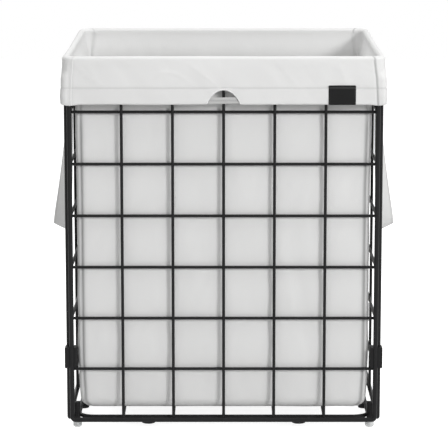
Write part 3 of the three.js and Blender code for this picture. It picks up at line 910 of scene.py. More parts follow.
    def _grid(self) -> Tree:
        """Builds the tree of a welded wire grid.

        Returns:
            A tree that lays uprights and level wires in the XY plane, at their own depths, with welds.
        """
        group, bench, start, end = self._start("wire grid", {
            "Uprights": 5, "Upright Pitch": 0.084, "Upright Length": 0.6, "Upright Depth": 0.002,
            "Levels": 6, "Level Pitch": 0.0865, "First Level": -0.2, "Level Length": 0.5,
            "Level Depth": 0.006, "Wire Radius": 0.0022, "Weld Radius": 0.003})
        size = start.outputs
        pitch = size["Upright Pitch"]
        span = bench.math("MULTIPLY", bench.math("SUBTRACT", size["Uprights"], 1.0), pitch)
        uprights = (size["Uprights"], bench.math("MULTIPLY", span, -0.5), pitch)
        levels = (size["Levels"], size["First Level"], size["Level Pitch"])
        both_depths = bench.math("ADD", size["Upright Depth"], size["Level Depth"])
        weld_depth = bench.math("MULTIPLY", both_depths, 0.5)
        nugget = bench.add("GeometryNodeMeshUVSphere", {
            "Segments": 8, "Rings": 5, "Radius": size["Weld Radius"]})
        weld, upright_bead, level_bead = (
            bench.add("GeometryNodeTransform", {"Geometry": nugget.outputs[0], "Scale": shares}).outputs[0]
            for shares in (self.WELD_SHARES, self.UPRIGHT_BEAD_SHARES, self.LEVEL_BEAD_SHARES))
        parts = [self._row(bench, "X", uprights, 0.0, size["Upright Depth"],
                           self._wire(bench, size["Upright Length"], size["Wire Radius"], "Y")),
                 self._row(bench, "Y", levels, 0.0, size["Level Depth"],
                           self._wire(bench, size["Level Length"], size["Wire Radius"], "X")),
                 self._row(bench, "Y", levels, 0.0, 0.0,
                           self._row(bench, "X", uprights, 0.0, weld_depth, weld))]
        depth = bench.math("MULTIPLY", size["Level Depth"], self.LEVEL_BEAD_DEPTH_SHARE)
        for sign in (-0.5, 0.5):
            top = bench.math("MULTIPLY", size["Upright Length"], sign)
            parts.append(self._row(bench, "X", uprights, top, size["Upright Depth"], upright_bead))
            edge = bench.math("MULTIPLY", size["Level Length"], sign * self.LEVEL_BEAD_REACH_SHARE)
            parts.append(self._row(bench, "Y", levels, edge, depth, level_bead))
        joined = bench.add("GeometryNodeJoinGeometry")
        for part in parts:
            bench.tree.links.new(part, joined.inputs[0])
        self._finish(bench, joined.outputs[0], start, end)
        return group

    def _stitches(self) -> Tree:
        """Builds the tree of a row of stitches along the edges of a path mesh.

        Returns:
            A tree with the stitch pitch, length and thread radius as inputs.
        """
        group, bench, start, end = self._start(
            "stitch row", {"Pitch": 0.0032, "Stitch Length": 0.0024, "Thread Radius": 0.0003}, path=True)
        size = start.outputs
        curve = bench.add("GeometryNodeMeshToCurve", {"Mesh": size["Path"]})
        places = bench.add("GeometryNodeCurveToPoints", {
            "Curve": curve.outputs[0], "Length": size["Pitch"]}, mode="LENGTH")
        turn = bench.add("FunctionNodeAlignRotationToVector", {"Vector": places.outputs["Tangent"]}, axis="Z")
        dash = bench.add("GeometryNodeMeshUVSphere", {
            "Segments": 6, "Rings": 5, "Radius": size["Thread Radius"]})
        thickness = bench.math("MULTIPLY", size["Thread Radius"], 2.0)
        stretch = bench.math("DIVIDE", size["Stitch Length"], thickness)
        shape = bench.add("ShaderNodeCombineXYZ", {"X": 1.0, "Y": 1.0, "Z": stretch})
        thread = bench.add("GeometryNodeTransform", {"Geometry": dash.outputs[0], "Scale": shape.outputs[0]})
        row = bench.add("GeometryNodeInstanceOnPoints", {
            "Points": places.outputs["Points"], "Instance": thread.outputs[0], "Rotation": turn.outputs[0]})
        self._finish(bench, row.outputs[0], start, end)
        return group

    def _piping(self) -> Tree:
        """Builds the tree of a round or flattened cord along a path mesh.

        Returns:
            A tree with the cord's half width and flatness as inputs.
        """
        group, bench, start, end = self._start(
            "bound edge", {"Half Width": 0.0015, "Flatness": 0.6}, path=True)
        size = start.outputs
        curve = bench.add("GeometryNodeMeshToCurve", {"Mesh": size["Path"]})
        bore = bench.add("GeometryNodeCurvePrimitiveCircle", {
            "Resolution": self.PIPING_SIDES, "Radius": size["Half Width"]}, mode="RADIUS")
        shape = bench.add("ShaderNodeCombineXYZ", {"X": 1.0, "Y": size["Flatness"], "Z": 1.0})
        oval = bench.add("GeometryNodeTransform", {"Geometry": bore.outputs[0], "Scale": shape.outputs[0]})
        tube = bench.add("GeometryNodeCurveToMesh", {
            "Curve": curve.outputs[0], "Profile Curve": oval.outputs[0], "Fill Caps": True})
        self._finish(bench, tube.outputs[0], start, end)
        return group


FORMS = FormTrees()


def path_mesh(name: str, runs: Sequence[Sequence], closed: bool = False) -> Mesh:
    """Makes a mesh of bare edges for a tree to follow.

    Args:
        name: The mesh's name.
        runs: Rows of points in metres.
        closed: Whether each row joins its last point to its first.

    Returns:
        The mesh.
    """
    points: list[Point] = []
    edges: list[tuple[int, int]] = []
    for run in runs:
        base = len(points)
        points.extend(tuple(map(float, p)) for p in run)
        edges.extend((base + i, base + i + 1) for i in range(len(run) - 1))
        if closed:
            edges.append((base + len(run) - 1, base))
    mesh = bpy.data.meshes.new(name)
    mesh.from_pydata(points, edges, [])
    return mesh


def sew(name: str, runs: Sequence[Sequence], body: Body, slot: Slot, thread: Finish = CLOTH_THREAD,
        pitch: float = 3.2 * MM, length: float = 2.4 * MM, radius: float = 0.32 * MM,
        closed: bool = False) -> None:
    """Sews rows of stitches as one piece.

    Args:
        name: The piece's name.
        runs: Rows of points on the cloth, in metres.
        body: The body that the stitches ride on.
        slot: The record's material slot.
        thread: The thread's finish.
        pitch: The distance from one stitch to the next.
        length: The length of a stitch.
        radius: The thread's radius.
        closed: Whether each row is a loop.
    """
    sizes = {"Pitch": pitch, "Stitch Length": length, "Thread Radius": radius, "Finish": thread.material()}
    piece = PieceMaker.from_tree(name, FORMS.stitches, sizes, path_mesh(name + ".path", runs, closed))
    PieceMaker.settle(piece, body, slot)


@dataclass
class WireFrame:
    """The five welded panels of the frame, with tubes and wires drawn a little fuller than in the CAD."""

    half_width: float = 253.5 * MM
    half_depth: float = 192.5 * MM
    low_rail: float = 17.0 * MM
    high_rail: float = 622.5 * MM
    tube_radius: float = 3.5 * MM
    tube_bend: float = 5.5 * MM
    tube_fullness: float = 0.5 * MM
    wire_radius: float = 2.2 * MM
    wire_fullness: float = 0.3 * MM
    weld_radius: float = 2.9 * MM
    weld_gap: float = 0.3 * MM
    weld_sink: float = 0.5 * MM
    upright_crop: float = 3.7 * MM
    overhang: float = 1.6 * MM
    side_x: float = 259.2 * MM
    side_half_depth: float = 176.5 * MM
    floor_half: tuple[float, float] = (244.3 * MM, 177.6 * MM)
    floor_z: float = 18.5 * MM
    floor_tube_radius: float = 3.0 * MM
    floor_bend: float = 27.0 * MM
    floor_bend_steps: int = 16
    column_pitch: float = 84.0 * MM
    front_columns: int = 5
    side_columns: int = 1
    level_pitch: float = 86.5 * MM
    first_level: float = 103.5 * MM
    levels: int = 6

    def build(self) -> None:
        """Builds and dresses the five panels."""
        for end in End:
            heading = 0 if end is End.FRONT else math.pi
            spot = (0, end.value * self.half_depth)
            self._standing(end.name.lower(), heading, spot, self.half_width, self.front_columns)
        for side in Side:
            heading = side.value * math.pi / 2
            spot = (side.value * self.side_x, 0)
            self._standing(side.name.lower(), heading, spot, self.side_half_depth, self.side_columns)
        self._floor()

    def _depths(self, tube_radius: float) -> tuple[float, float]:
        """Gives how far a grid's two layers of wires lie from the ring's plane."""
        lap = tube_radius + self.weld_gap + self.wire_radius
        return lap, lap - 2 * self.wire_radius + self.weld_sink

    def _standing(self, name: str, heading: float, spot: tuple[float, float], half_width: float,
                  columns: int) -> None:
        """Builds one standing panel.

        Args:
            name: Where the panel stands, such as front.
            heading: How the panel is turned about the vertical.
            spot: Where it stands.
            half_width: Half the width of its ring.
            columns: How many upright wires it has.
        """
        middle = (self.low_rail + self.high_rail) / 2
        height = self.high_rail - self.low_rail
        lap, inner = self._depths(self.tube_radius)
        self._panel(name, Euler((math.pi / 2, 0, heading)), (*spot, middle), {
            "Width": 2 * half_width, "Height": height, "Bend": self.tube_bend,
            "Tube Radius": self.tube_radius + self.tube_fullness}, {
            "Uprights": columns, "Upright Length": height - 2 * self.upright_crop, "Upright Depth": -inner,
            "Levels": self.levels, "First Level": self.first_level - middle,
            "Level Length": 2 * (half_width + self.overhang), "Level Depth": -lap})

    def _floor(self) -> None:
        """Builds the level floor panel."""
        half_x, half_y = self.floor_half
        lap, inner = self._depths(self.floor_tube_radius)
        self._panel("floor", Euler((0, 0, 0)), (0, 0, self.floor_z), {
            "Width": 2 * half_x, "Height": 2 * half_y, "Bend": self.floor_bend,
            "Bend Steps": self.floor_bend_steps,
            "Tube Radius": self.floor_tube_radius + self.tube_fullness}, {
            "Uprights": self.front_columns, "Upright Length": 2 * (half_y + self.overhang),
            "Upright Depth": lap, "Levels": 1, "First Level": 0.0, "Level Depth": inner,
            "Level Length": 2 * (half_x - self.floor_tube_radius - self.weld_gap)})

    def _panel(self, name: str, turn: Euler, place: Point, ring: dict, grid: dict) -> None:
        """Builds one panel from the two trees.

        Args:
            name: Where the panel stands, such as front.
            turn: How the panel's plane is turned from level.
            place: The middle of the ring.
            ring: The ring tree's own inputs.
            grid: The grid tree's own inputs.
        """
        shared = {"Turn": turn, "Place": place, "Finish": POWDER_COAT.material()}
        tube = PieceMaker.from_tree(f"{name}_tube", FORMS.ring, {**ring, **shared})
        PieceMaker.settle(tube, Body.FRAME, Slot.FRAME, [f"{name}_ring"])
        wires = PieceMaker.from_tree(f"{name}_wires", FORMS.grid, {
            "Upright Pitch": self.column_pitch, "Level Pitch": self.level_pitch,
            "Wire Radius": self.wire_radius + self.wire_fullness, "Weld Radius": self.weld_radius,
            **grid, **shared})
        PieceMaker.settle(wires, Body.FRAME, Slot.FRAME, [f"{name}_grid"])


@dataclass
class FrameFittings:
    """The corner clips, posts and glides, each a rounded copy of its CAD node."""

    clip_round: float = 0.7 * MM
    post_round: float = 0.5 * MM
    glide_round: float = 0.6 * MM
    round_steps: int = 3
    sharp_angle: float = 32.0
    merge_reach: float = 0.001 * MM
    flat_angle: float = 0.02

    def build(self) -> None:
        """Rounds and dresses every fitting."""
        kinds = {"corner_clip": (self.clip_round, CLIP_PLASTIC, Slot.CLIP),
                 "post": (self.post_round, POWDER_COAT, Slot.FRAME),
                 "glide": (self.glide_round, CLEAR_PLASTIC, Slot.GLIDE)}
        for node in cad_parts:
            for kind, (radius, finish, slot) in kinds.items():
                if node.startswith(kind):
                    self._round_off(node, radius, finish, slot)

    def _round_off(self, node: str, radius: float, finish: Finish, slot: Slot) -> None:
        """Makes a rounded copy of a CAD node.

        Args:
            node: The node's name.
            radius: How far its edges are rounded.
            finish: The surface finish.
            slot: The record's material slot.
        """
        mesh = bpy.data.meshes.new(node + "_moulded")
        shape = bmesh.new()
        shape.from_mesh(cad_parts[node].data)
        bmesh.ops.remove_doubles(shape, verts=shape.verts, dist=self.merge_reach)
        bmesh.ops.dissolve_limit(shape, angle_limit=self.flat_angle, verts=shape.verts, edges=shape.edges)
        shape.to_mesh(mesh)
        shape.free()
        mesh.materials.clear()
        mesh.materials.append(finish.material())
        mesh.shade_smooth()
        piece = PieceMaker.show(node + "_moulded", mesh)
        rounding = piece.modifiers.new("rounded edges", "BEVEL")
        rounding.width = radius
        rounding.segments = self.round_steps
        rounding.limit_method = "ANGLE"
        rounding.angle_limit = math.radians(self.sharp_angle)
        rounding.use_clamp_overlap = True
        rounding.harden_normals = True
        PieceMaker.settle(piece, Body.FRAME, slot, [node])


@dataclass
class FloorClips:
    """The eight low clips under the bottom rails, which hold the floor ring to them."""

    rails: tuple[float, float] = (259.2 * MM, 192.5 * MM)
    rail_z: float = 17.0 * MM
    rail_groove: float = 3.75 * MM
    ring_offset: float = 14.9 * MM
    ring_z: float = 18.5 * MM
    ring_groove: float = 3.25 * MM
    length: float = 24.5 * MM
    end_taper: float = 0.12
    lip: float = 2.0 * MM
    tongue: float = 12.9 * MM
    belly_top: float = 13.2 * MM
    belly: float = 4.6 * MM
    belly_fullness: float = 2.2
    edge_start: float = 0.93
    edge_drop: float = 0.5 * MM
    least_wall: float = 0.2 * MM
    sharp_angle: float = 50.0
    front_x: float = 126.0 * MM
    side_y: float = 81.5 * MM
    steps: tuple[int, int] = (22, 64)

    def build(self) -> None:
        """Builds the eight clips, two under each bottom rail."""
        for end in End:
            for side in Side:
                front = f"floor_clip_{end.name.lower()}_{side.name.lower()}"
                self._clip(front, (side.value * self.front_x, end.value * self.rails[1]), (0, -end.value))
                flank = f"floor_clip_{side.name.lower()}_{end.name.lower()}"
                self._clip(flank, (side.value * self.rails[0], end.value * self.side_y), (-side.value, 0))

    def _top(self, inward: float) -> float:
        """Gives the clip's top, which is grooved for the two tubes.

        Args:
            inward: How far inward of the outer rail's middle.

        Returns:
            The height in metres.
        """
        top = self.ring_z
        if inward < self.rail_groove:
            top = min(top, self.rail_z - math.sqrt(max(self.rail_groove**2 - inward**2, 0.0)))
        from_ring = inward - self.ring_offset
        if abs(from_ring) < self.ring_groove:
            top = min(top, self.ring_z - math.sqrt(self.ring_groove**2 - from_ring**2))
        return top

    def _clip(self, node: str, rail: tuple[float, float], inward: tuple[int, int]) -> None:
        """Builds one clip as a smooth low dome with a grooved top.

        Args:
            node: The CAD node that it stands for.
            rail: The point on the outer rail over the clip's middle.
            inward: The level direction towards the hamper's middle.
        """
        count_u, count_v = self.steps
        count = count_u * count_v
        span = self.lip + self.ring_offset + self.tongue
        top: list[Point] = []
        low: list[Point] = []
        for shares in spread(count_u, count_v):
            u, v = (math.sin((share - 0.5) * math.pi) for share in shares)
            inset = span * (v + 1) / 2 - self.lip
            along = u * self.length / 2 * (1 - self.end_taper * abs(v) ** 4)
            across, lengthwise = max(1 - abs(u) ** self.belly_fullness, 0.0), max(1 - abs(v) ** 4, 0.0)
            dome = math.sqrt(across) * math.sqrt(lengthwise)
            x = rail[0] + inward[0] * inset - inward[1] * along
            y = rail[1] + inward[1] * inset + inward[0] * along
            bottom = self.belly_top - self.belly * dome
            edge = max(max(abs(u), abs(v)) - self.edge_start, 0.0) / (1 - self.edge_start)
            top.append((x, y, max(self._top(inset) - self.edge_drop * edge, bottom + self.least_wall)))
            low.append((x, y, bottom))
        faces = []
        under = sheet_faces(count_u, count_v)
        for upper, lower in zip(sheet_faces(count_u, count_v, flip=True, turned=True), under):
            faces += [upper, tuple(count + corner for corner in lower)]
        rim = list(range(count_v)) + [i * count_v + count_v - 1 for i in range(1, count_u)]
        rim += [(count_u - 1) * count_v + j for j in range(count_v - 2, -1, -1)]
        rim += [i * count_v for i in range(count_u - 2, 0, -1)]
        faces += [(a, count + a, count + b, b) for a, b in zip(rim, rim[1:] + rim[:1])]
        piece = PieceMaker.from_points(node + "_moulded", top + low, faces, CLIP_PLASTIC)
        shape = bmesh.new()
        shape.from_mesh(piece.data)
        bmesh.ops.recalc_face_normals(shape, faces=shape.faces)
        shape.to_mesh(piece.data)
        shape.free()
        piece.data.set_sharp_from_angle(angle=math.radians(self.sharp_angle))
        PieceMaker.settle(piece, Body.FRAME, Slot.CLIP, [node])


@dataclass
class Wall:
    """One column of the liner: its place round the section and its normal."""

    reach_x: float
    reach_y: float
    angle: float
    seam_distance: float = 1.0
    notch_x: float | None = None


@dataclass
class Liner:
    """The bag with its folded cuff, formed as one shell over the rails, and what is sewn to it."""

    half_width: float = 241.9 * MM
    half_depth: float = 181.2 * MM
    top_swell: float = 1.4 * MM
    hang_aside: float = -0.7 * MM
    bottom: float = 35.2 * MM
    bottom_round: tuple[float, float, float] = (20.0 * MM, 12.0 * MM, 17.0 * MM)
    bottom_taper: float = 2.9 * MM
    taper_height: float = 75.0 * MM
    corner_round: float = 7.2 * MM
    corner_arc: float = 14.0 * MM
    lean_start: float = 591.5 * MM
    wall_rows: int = 70
    map_row: int = 30
    rail: tuple[float, float, float] = (259.2 * MM, 192.5 * MM, 622.5 * MM)
    fold_reach: float = 4.85 * MM
    fold_rise: float = 4.9 * MM
    rear_rise: float = 12.5 * MM
    rear_draw: float = 0.42
    rear_draw_onset: float = 1.5 * MM
    rim_ripple: Wrinkle = Wrinkle(0.3 * MM, 14, seed=3.1)
    cuff_half: tuple[float, float] = (266.0 * MM, 199.1 * MM)
    cuff_corner: float = 17.0 * MM
    flare_height: float = 30.0 * MM
    cuff_belly: float = 0.5 * MM
    side_calm: float = 0.6
    side_least: float = -0.1 * MM
    hem_corner: tuple[float, float] = (15.0 * MM, 12.8 * MM)
    clip_swell: float = 3.3 * MM
    clip_top: float = 606.0 * MM
    clip_onset: float = 15.0 * MM
    hem_seam: float = 576.4 * MM
    hem_edge: float = 551.2 * MM
    hem_turn: float = 9.0 * MM
    least_turn: float = 1.5 * MM
    hem_swell: Ridge = Ridge(1.1 * MM, 562.5 * MM, 7.5 * MM)
    hem_groove: Ridge = Ridge(-0.45 * MM, 576.4 * MM, 1.1 * MM)
    hem_band: float = 0.35 * MM
    hem_wave: float = 0.7 * MM
    hem_dip: Ridge = Ridge(-1.8 * MM, 0.0, 10.0 * MM)
    notch_half: float = 27.6 * MM
    notch_rise: float = 23.3 * MM
    cloth: float = 1.4 * MM
    # Painted shade: the wall seam mask darkens a wide band along each corner seam, a seam line with painted
    # shade in its groove; the hem mask paints a dark line along the hem crease.
    wall_seam_and_painted_shade: Ridge = Ridge(1.3, 0.0, 3.8 * MM)
    # Painted shade: the cuff's corner seams are darkened three times as much on the right, where the seam's
    # step faces away from the key lamp.
    cuff_seam_and_painted_shade: Ridge = Ridge(1.0, 0.0, 1.4 * MM)
    cuff_seam_and_painted_shade_shares: tuple[float, float] = (0.25, 0.75)
    hem_line_and_painted_shade: float = 0.35
    stitch_rise: float = 0.05 * MM
    first_level: float = 103.5 * MM
    level_pitch: float = 86.5 * MM
    cell_bulge: float = 1.3 * MM
    cell_shares: Wrinkle = Wrinkle(0.9, 7, 6, seed=1.7)
    wall_folds: Wrinkle = Wrinkle(1.1 * MM, 34, 4.5, 5, 8.0)
    wall_creases: Wrinkle = Wrinkle(0.45 * MM, 60, 26, -22, 2.0)
    calm_foot: float = 50.0 * MM
    calm_rise: float = 60.0 * MM
    calm_corner: float = 40.0 * MM
    most_out: float = 2.3 * MM
    wall_groove: Ridge = Ridge(-1.7 * MM, 0.0, 3.0 * MM)
    cuff_ridge: Ridge = Ridge(0.55 * MM, 0.0, 0.9 * MM)
    cuff_groove: Ridge = Ridge(-0.55 * MM, 2.4 * MM, 1.1 * MM)
    cuff_soft: Wrinkle = Wrinkle(1.3 * MM, 15, 16, seed=4.0)
    cuff_fine: Wrinkle = Wrinkle(0.7 * MM, 42, 20, 24)
    cuff_pucker: Wrinkle = Wrinkle(1.0, 23, 9, 17, 11)
    pucker_width: float = 0.07
    pucker_height: float = 0.5 * MM
    bin_thickness: float = 2.2 * MM
    bin_gap: float = 1.2 * MM
    bin_stitch_rise: float = 1.3 * MM
    bin_seam: Ridge = Ridge(-0.7 * MM, 0.06, 0.012)
    bin_sag: float = 1.1 * MM
    bin_unevenness: Wrinkle = Wrinkle(0.5 * MM, 18, seed=5)
    divider_top: float = 561.0 * MM
    divider_lift: float = 1.5 * MM
    divider_gap: float = 1.2 * MM
    divider_roll: float = 1.2 * MM
    divider_wave: float = 3.2 * MM
    divider_droop: float = 2.5 * MM
    divider_hem: float = 5.0 * MM
    bound_edge: tuple[float, float] = (1.5 * MM, 0.8)
    bound_notch: tuple[float, float] = (1.2 * MM, 0.95)
    bound_notch_rise: float = 0.3 * MM
    columns: list[Wall] = field(default_factory=list)
    rows: dict[str, int] = field(default_factory=dict)

    def build(self) -> None:
        """Builds the shell, the bottoms, the divider and the bound edges."""
        self._lay_columns()
        points = np.array([self._column_points(wall) for wall in self.columns])
        self._shell(points)
        self._hem_stitches(points)
        self._bottoms()
        self._divider()
        self._bindings(points)

    def _lay_columns(self) -> None:
        """Lists the shell's columns, anticlockwise from the middle of the front."""
        edge = self.notch_half
        inner = self.cuff_half[0] - self.cuff_corner
        turns = (0, 8, 16, 24, 32, 40, 48, 56, 63, 70, 77)
        front = [edge * math.sin(math.radians(turn)) for turn in turns]
        front.append(edge + 0.05 * MM)
        run = np.linspace(edge + 2.5 * MM, inner - 6 * MM, 46).tolist()
        near = [inner - gap * MM for gap in (3.6, 2.4, 1.6, 0.8, 0.0)]
        quarter = math.pi / 2
        halves = [Wall(x / inner, -1, -quarter, abs(x - inner), x) for x in front]
        halves += [Wall(x / inner, -1, -quarter, abs(x - inner)) for x in run + near]
        for step in range(1, 10):
            turn = -quarter + step * math.pi / 18
            halves.append(Wall(1, -1, turn, self.corner_arc * (turn + quarter)))
        halves += [Wall(1, share, 0) for share in np.linspace(-0.97, 0.97, 52)]
        for step in range(9):
            turn = step * math.pi / 18
            halves.append(Wall(1, 1, turn, self.corner_arc * (quarter - turn)))
        back = near[::-1] + np.linspace(inner - 6 * MM, 0, 46).tolist()
        halves += [Wall(x / inner, 1, quarter, abs(x - inner)) for x in back]
        mirrored = [Wall(-wall.reach_x, wall.reach_y, math.pi - wall.angle, wall.seam_distance,
                         None if wall.notch_x is None else -wall.notch_x) for wall in reversed(halves[1:-1])]
        self.columns = halves + mirrored

    def _rim_height(self, x: float, y: float) -> float:
        """Gives how far the fold stands above the plain rim at a place round it."""
        rear = clamp((y + 0.02) / 0.21) ** 1.6
        return rear * self.rear_rise + self.rim_ripple.depth + self.rim_ripple.at(x, y, 0.0)

    @staticmethod
    def _station(wall: Wall, half: tuple[float, float], corner: float, z: float, out: float = 0.0) -> Point:
        """Places one point of the shell.

        Args:
            wall: The column.
            half: The section's half width and half depth.
            corner: The section's corner radius.
            z: The height.
            out: How far the cloth stands out along its normal.

        Returns:
            The point in metres.
        """
        x, y = wall.reach_x * (half[0] - corner), wall.reach_y * (half[1] - corner)
        if abs(wall.reach_x) >= 1:
            x += (corner + out) * math.cos(wall.angle)
        if abs(wall.reach_y) >= 1:
            y += (corner + out) * math.sin(wall.angle)
        return (x, y, z)

    def _wall_out(self, wall: Wall, half: tuple[float, float], corner: float, z: float) -> float:
        """Gives the wall's bulge between the level wires, its wrinkles and its corner seams.

        Args:
            wall: The column.
            half: The section's half width and half depth.
            corner: The section's corner radius.
            z: The height.

        Returns:
            How far the cloth stands out, in metres.
        """
        spot = self._station(wall, half, corner, z)
        cell = math.sin(math.pi * (z - self.first_level) / self.level_pitch) ** 2
        low = clamp((z - self.calm_foot) / self.calm_rise)
        flat = clamp(wall.seam_distance / self.calm_corner)
        share = max(0.55 + self.cell_shares.at(*spot), 0.0)
        out = self.cell_bulge * cell * low * flat * share
        out += min(self.wall_folds.at(*spot), self.wall_folds.depth * 0.1) + self.wall_creases.at(*spot)
        return min(out, self.most_out) + self.wall_groove.at(wall.seam_distance)

    def _notch_edge(self, wall: Wall) -> float:
        """Gives the hem's lower edge, which runs over the notch.

        Args:
            wall: The column.

        Returns:
            The height in metres.
        """
        if wall.notch_x is not None and abs(wall.notch_x) < self.notch_half:
            return self.hem_edge + self._notch_arch(wall.notch_x)
        x = wall.reach_x * (self.cuff_half[0] - self.cuff_corner)
        wave = self.hem_wave * noise.noise(Vector((x * 11, wall.reach_y * 3, wall.angle)))
        return self.hem_edge + wave + self.hem_dip.at(wall.seam_distance)

    def _notch_arch(self, x: float) -> float:
        """Gives the notch's height above the hem's lower edge."""
        return self.notch_rise * max(1 - (x / self.notch_half) ** 2, 0.0) ** 0.8

    def _column_points(self, wall: Wall) -> list[Point]:
        """Runs one column from the bottom, up the wall, over the rail and down to the turned hem.

        Args:
            wall: The column.

        Returns:
            The column's points.
        """
        rail_x, rail_y, rail_z = self.rail
        lift = self._rim_height(*self._station(wall, (rail_x, rail_y), self.cuff_corner, 0)[:2])
        arc_z = rail_z + lift
        rail_x -= self.rear_draw * max(lift - self.rear_draw_onset, 0.0)
        points = self._wall_points(wall)
        points += self._lean_points(wall, (rail_x - self.fold_reach, rail_y - self.fold_reach), arc_z)
        self.rows["fold"] = len(points)
        for step in range(13):
            turn = math.pi - step * math.pi / 12
            reach = self.fold_reach * math.cos(turn)
            z = arc_z + self.fold_rise * math.sin(turn)
            points.append(self._station(wall, (rail_x + reach, rail_y + reach), self.cuff_corner, z))
        top = (rail_x + self.fold_reach, rail_y + self.fold_reach)
        edge = self._notch_edge(wall)
        for share in np.linspace(0, 1, 19)[1:]:
            points.append(self._cuff_point(wall, top, arc_z + (self.hem_seam - arc_z) * share, arc_z))
        self.rows["seam"] = len(points) - 1
        for share in np.linspace(0, 1, 13)[1:]:
            points.append(self._cuff_point(wall, top, self.hem_seam + (edge - self.hem_seam) * share, arc_z))
        half = self.cloth * 0.75
        for degrees in (50, 100, 150, 180):
            turn = math.radians(degrees)
            z = edge - half * math.sin(turn)
            points.append(self._cuff_point(wall, top, z, arc_z, -half * (1 - math.cos(turn))))
        turn_up = min(self.hem_turn, max(self.hem_seam - edge - 1 * MM, self.least_turn))
        for share in (0.5, 1.0):
            points.append(self._cuff_point(wall, top, edge + turn_up * share, arc_z, -2 * half))
        return points

    def _wall_points(self, wall: Wall) -> list[Point]:
        """Runs the rounded bottom edge and the wall up to where it leans out.

        Args:
            wall: The column.

        Returns:
            The column's first points.
        """
        points: list[Point] = []
        for step in range(7):
            turn = step * math.pi / 12
            inset_x = self.bottom_round[0] * (1 - math.sin(turn)) + self.bottom_taper
            inset_y = self.bottom_round[1] * (1 - math.sin(turn)) + self.bottom_taper * 0.5
            z = self.bottom + self.bottom_round[2] * (1 - math.cos(turn))
            half = (self.half_width - inset_x, self.half_depth - inset_y)
            x, y, z = self._station(wall, half, self.corner_round, z)
            points.append((x + self.hang_aside, y, z))
        start = self.bottom + self.bottom_round[2]
        self.rows["wall"] = len(points)
        for z in np.linspace(start, self.lean_start, self.wall_rows)[1:]:
            taper = self.bottom_taper * max(0.0, 1 - (z - start) / self.taper_height) ** 1.4
            swell = self.top_swell * clamp((z - 0.40) / 0.12)
            out = self._wall_out(wall, (self.half_width, self.half_depth), self.corner_round, z)
            half = (self.half_width - taper + swell, self.half_depth - taper * 0.5)
            x, y, z = self._station(wall, half, self.corner_round, z, out)
            points.append((x + self.hang_aside * clamp((0.5 - z) / 0.1), y, z))
        return points

    def _lean_points(self, wall: Wall, rim: tuple[float, float], arc_z: float) -> list[Point]:
        """Runs the part of the wall that leans out to the rail.

        Args:
            wall: The column.
            rim: The section's half width and half depth where the fold starts.
            arc_z: The height where the fold starts.

        Returns:
            The points between the wall and the fold.
        """
        points: list[Point] = []
        start = (self.half_width + self.top_swell, self.half_depth)
        for share in np.linspace(0, 1, 11)[1:-1]:
            eased = ease(share)
            z = self.lean_start + (arc_z - self.lean_start) * share
            half = (start[0] + (rim[0] - start[0]) * eased, start[1] + (rim[1] - start[1]) * eased)
            corner = self.corner_round + (self.cuff_corner - self.corner_round) * eased
            out = self._wall_out(wall, half, corner, z) * (1 - eased)
            points.append(self._station(wall, half, corner, z, out))
        return points

    def _cuff_point(self, wall: Wall, top: tuple[float, float], z: float, arc_z: float,
                    out: float = 0.0) -> Point:
        """Places one point of the cuff's outer leg.

        Args:
            wall: The column.
            top: The section's half width and half depth at the fold.
            z: The height.
            arc_z: The height where the fold ends.
            out: How far the point stands out beyond the leg.

        Returns:
            The point in metres.
        """
        fall = min(max((arc_z - z) / (arc_z - self.hem_edge), 0.0), 1.05)
        rail_side = self.rail[0] + self.fold_reach
        lean = clamp((arc_z - z) / max(arc_z - self.rail[2] - 4 * MM, 0.5 * MM))
        flare = clamp((self.rail[2] - z) / self.flare_height) ** 1.3
        half = (top[0] + (rail_side - top[0]) * lean + (self.cuff_half[0] - rail_side) * flare,
                top[1] + (self.cuff_half[1] - top[1]) * (fall ** 0.8))
        hem_corner = self.hem_corner[1 if wall.reach_x > 0 else 0]
        corner = self.cuff_corner + (hem_corner - self.cuff_corner) * min(fall, 1.0)
        spot = self._station(wall, half, corner, z)
        aside = abs(math.cos(wall.angle))
        over_clip = ease(clamp((self.clip_top - z) / self.clip_onset))
        out += self.clip_swell * math.sin(2 * wall.angle) ** 2 * over_clip + self.hem_swell.at(z) * aside
        pucker = max(0.0, 1 - abs(self.cuff_pucker.at(*spot)) / self.pucker_width) * self.pucker_height
        shift = (self.cuff_soft.at(*spot) + self.cuff_fine.at(*spot) + pucker) * min(fall * 5, 1.0)
        shift += math.sin(math.pi * min(fall, 1.0)) * self.cuff_belly
        if aside > 0.15:
            shift = max(shift * (1 - self.side_calm * aside), self.side_least)
        out += shift + self.hem_groove.at(z) + (self.hem_band if z < self.hem_seam else 0.0)
        out += self.cuff_ridge.at(wall.seam_distance) + self.cuff_groove.at(wall.seam_distance)
        return self._station(wall, half, corner, z, out)

    def _shell(self, points: np.ndarray) -> None:
        """Makes the shell from its points.

        Args:
            points: The points, columns by rows by three.
        """
        columns, rows = points.shape[:2]
        steps = np.linalg.norm(np.diff(points, axis=1), axis=2)
        along = np.concatenate([np.zeros((columns, 1)), np.cumsum(steps, axis=1)], axis=1)
        middle = points[:, self.rows["wall"] + self.map_row, :]
        around = np.concatenate([[0.0], np.cumsum(np.linalg.norm(np.diff(middle, axis=0), axis=1))])
        places = np.stack([np.repeat(around[:, None], rows, axis=1), along], axis=2).reshape(-1, 2)
        near = np.array([wall.seam_distance for wall in self.columns])
        right = np.array([wall.reach_x > 0 for wall in self.columns])
        # Painted shade: the seam mask darkens the corner seams and the hem line, seam lines with painted
        # shade in their grooves; the wall's share fades to 0.3 near the rim.
        wall_seam_and_shade = np.minimum(self.wall_seam_and_painted_shade.at(near), 1.0)
        seam = wall_seam_and_shade[:, None] * np.clip((0.56 - points[:, :, 2]) / 0.05, 0.3, 1.0)
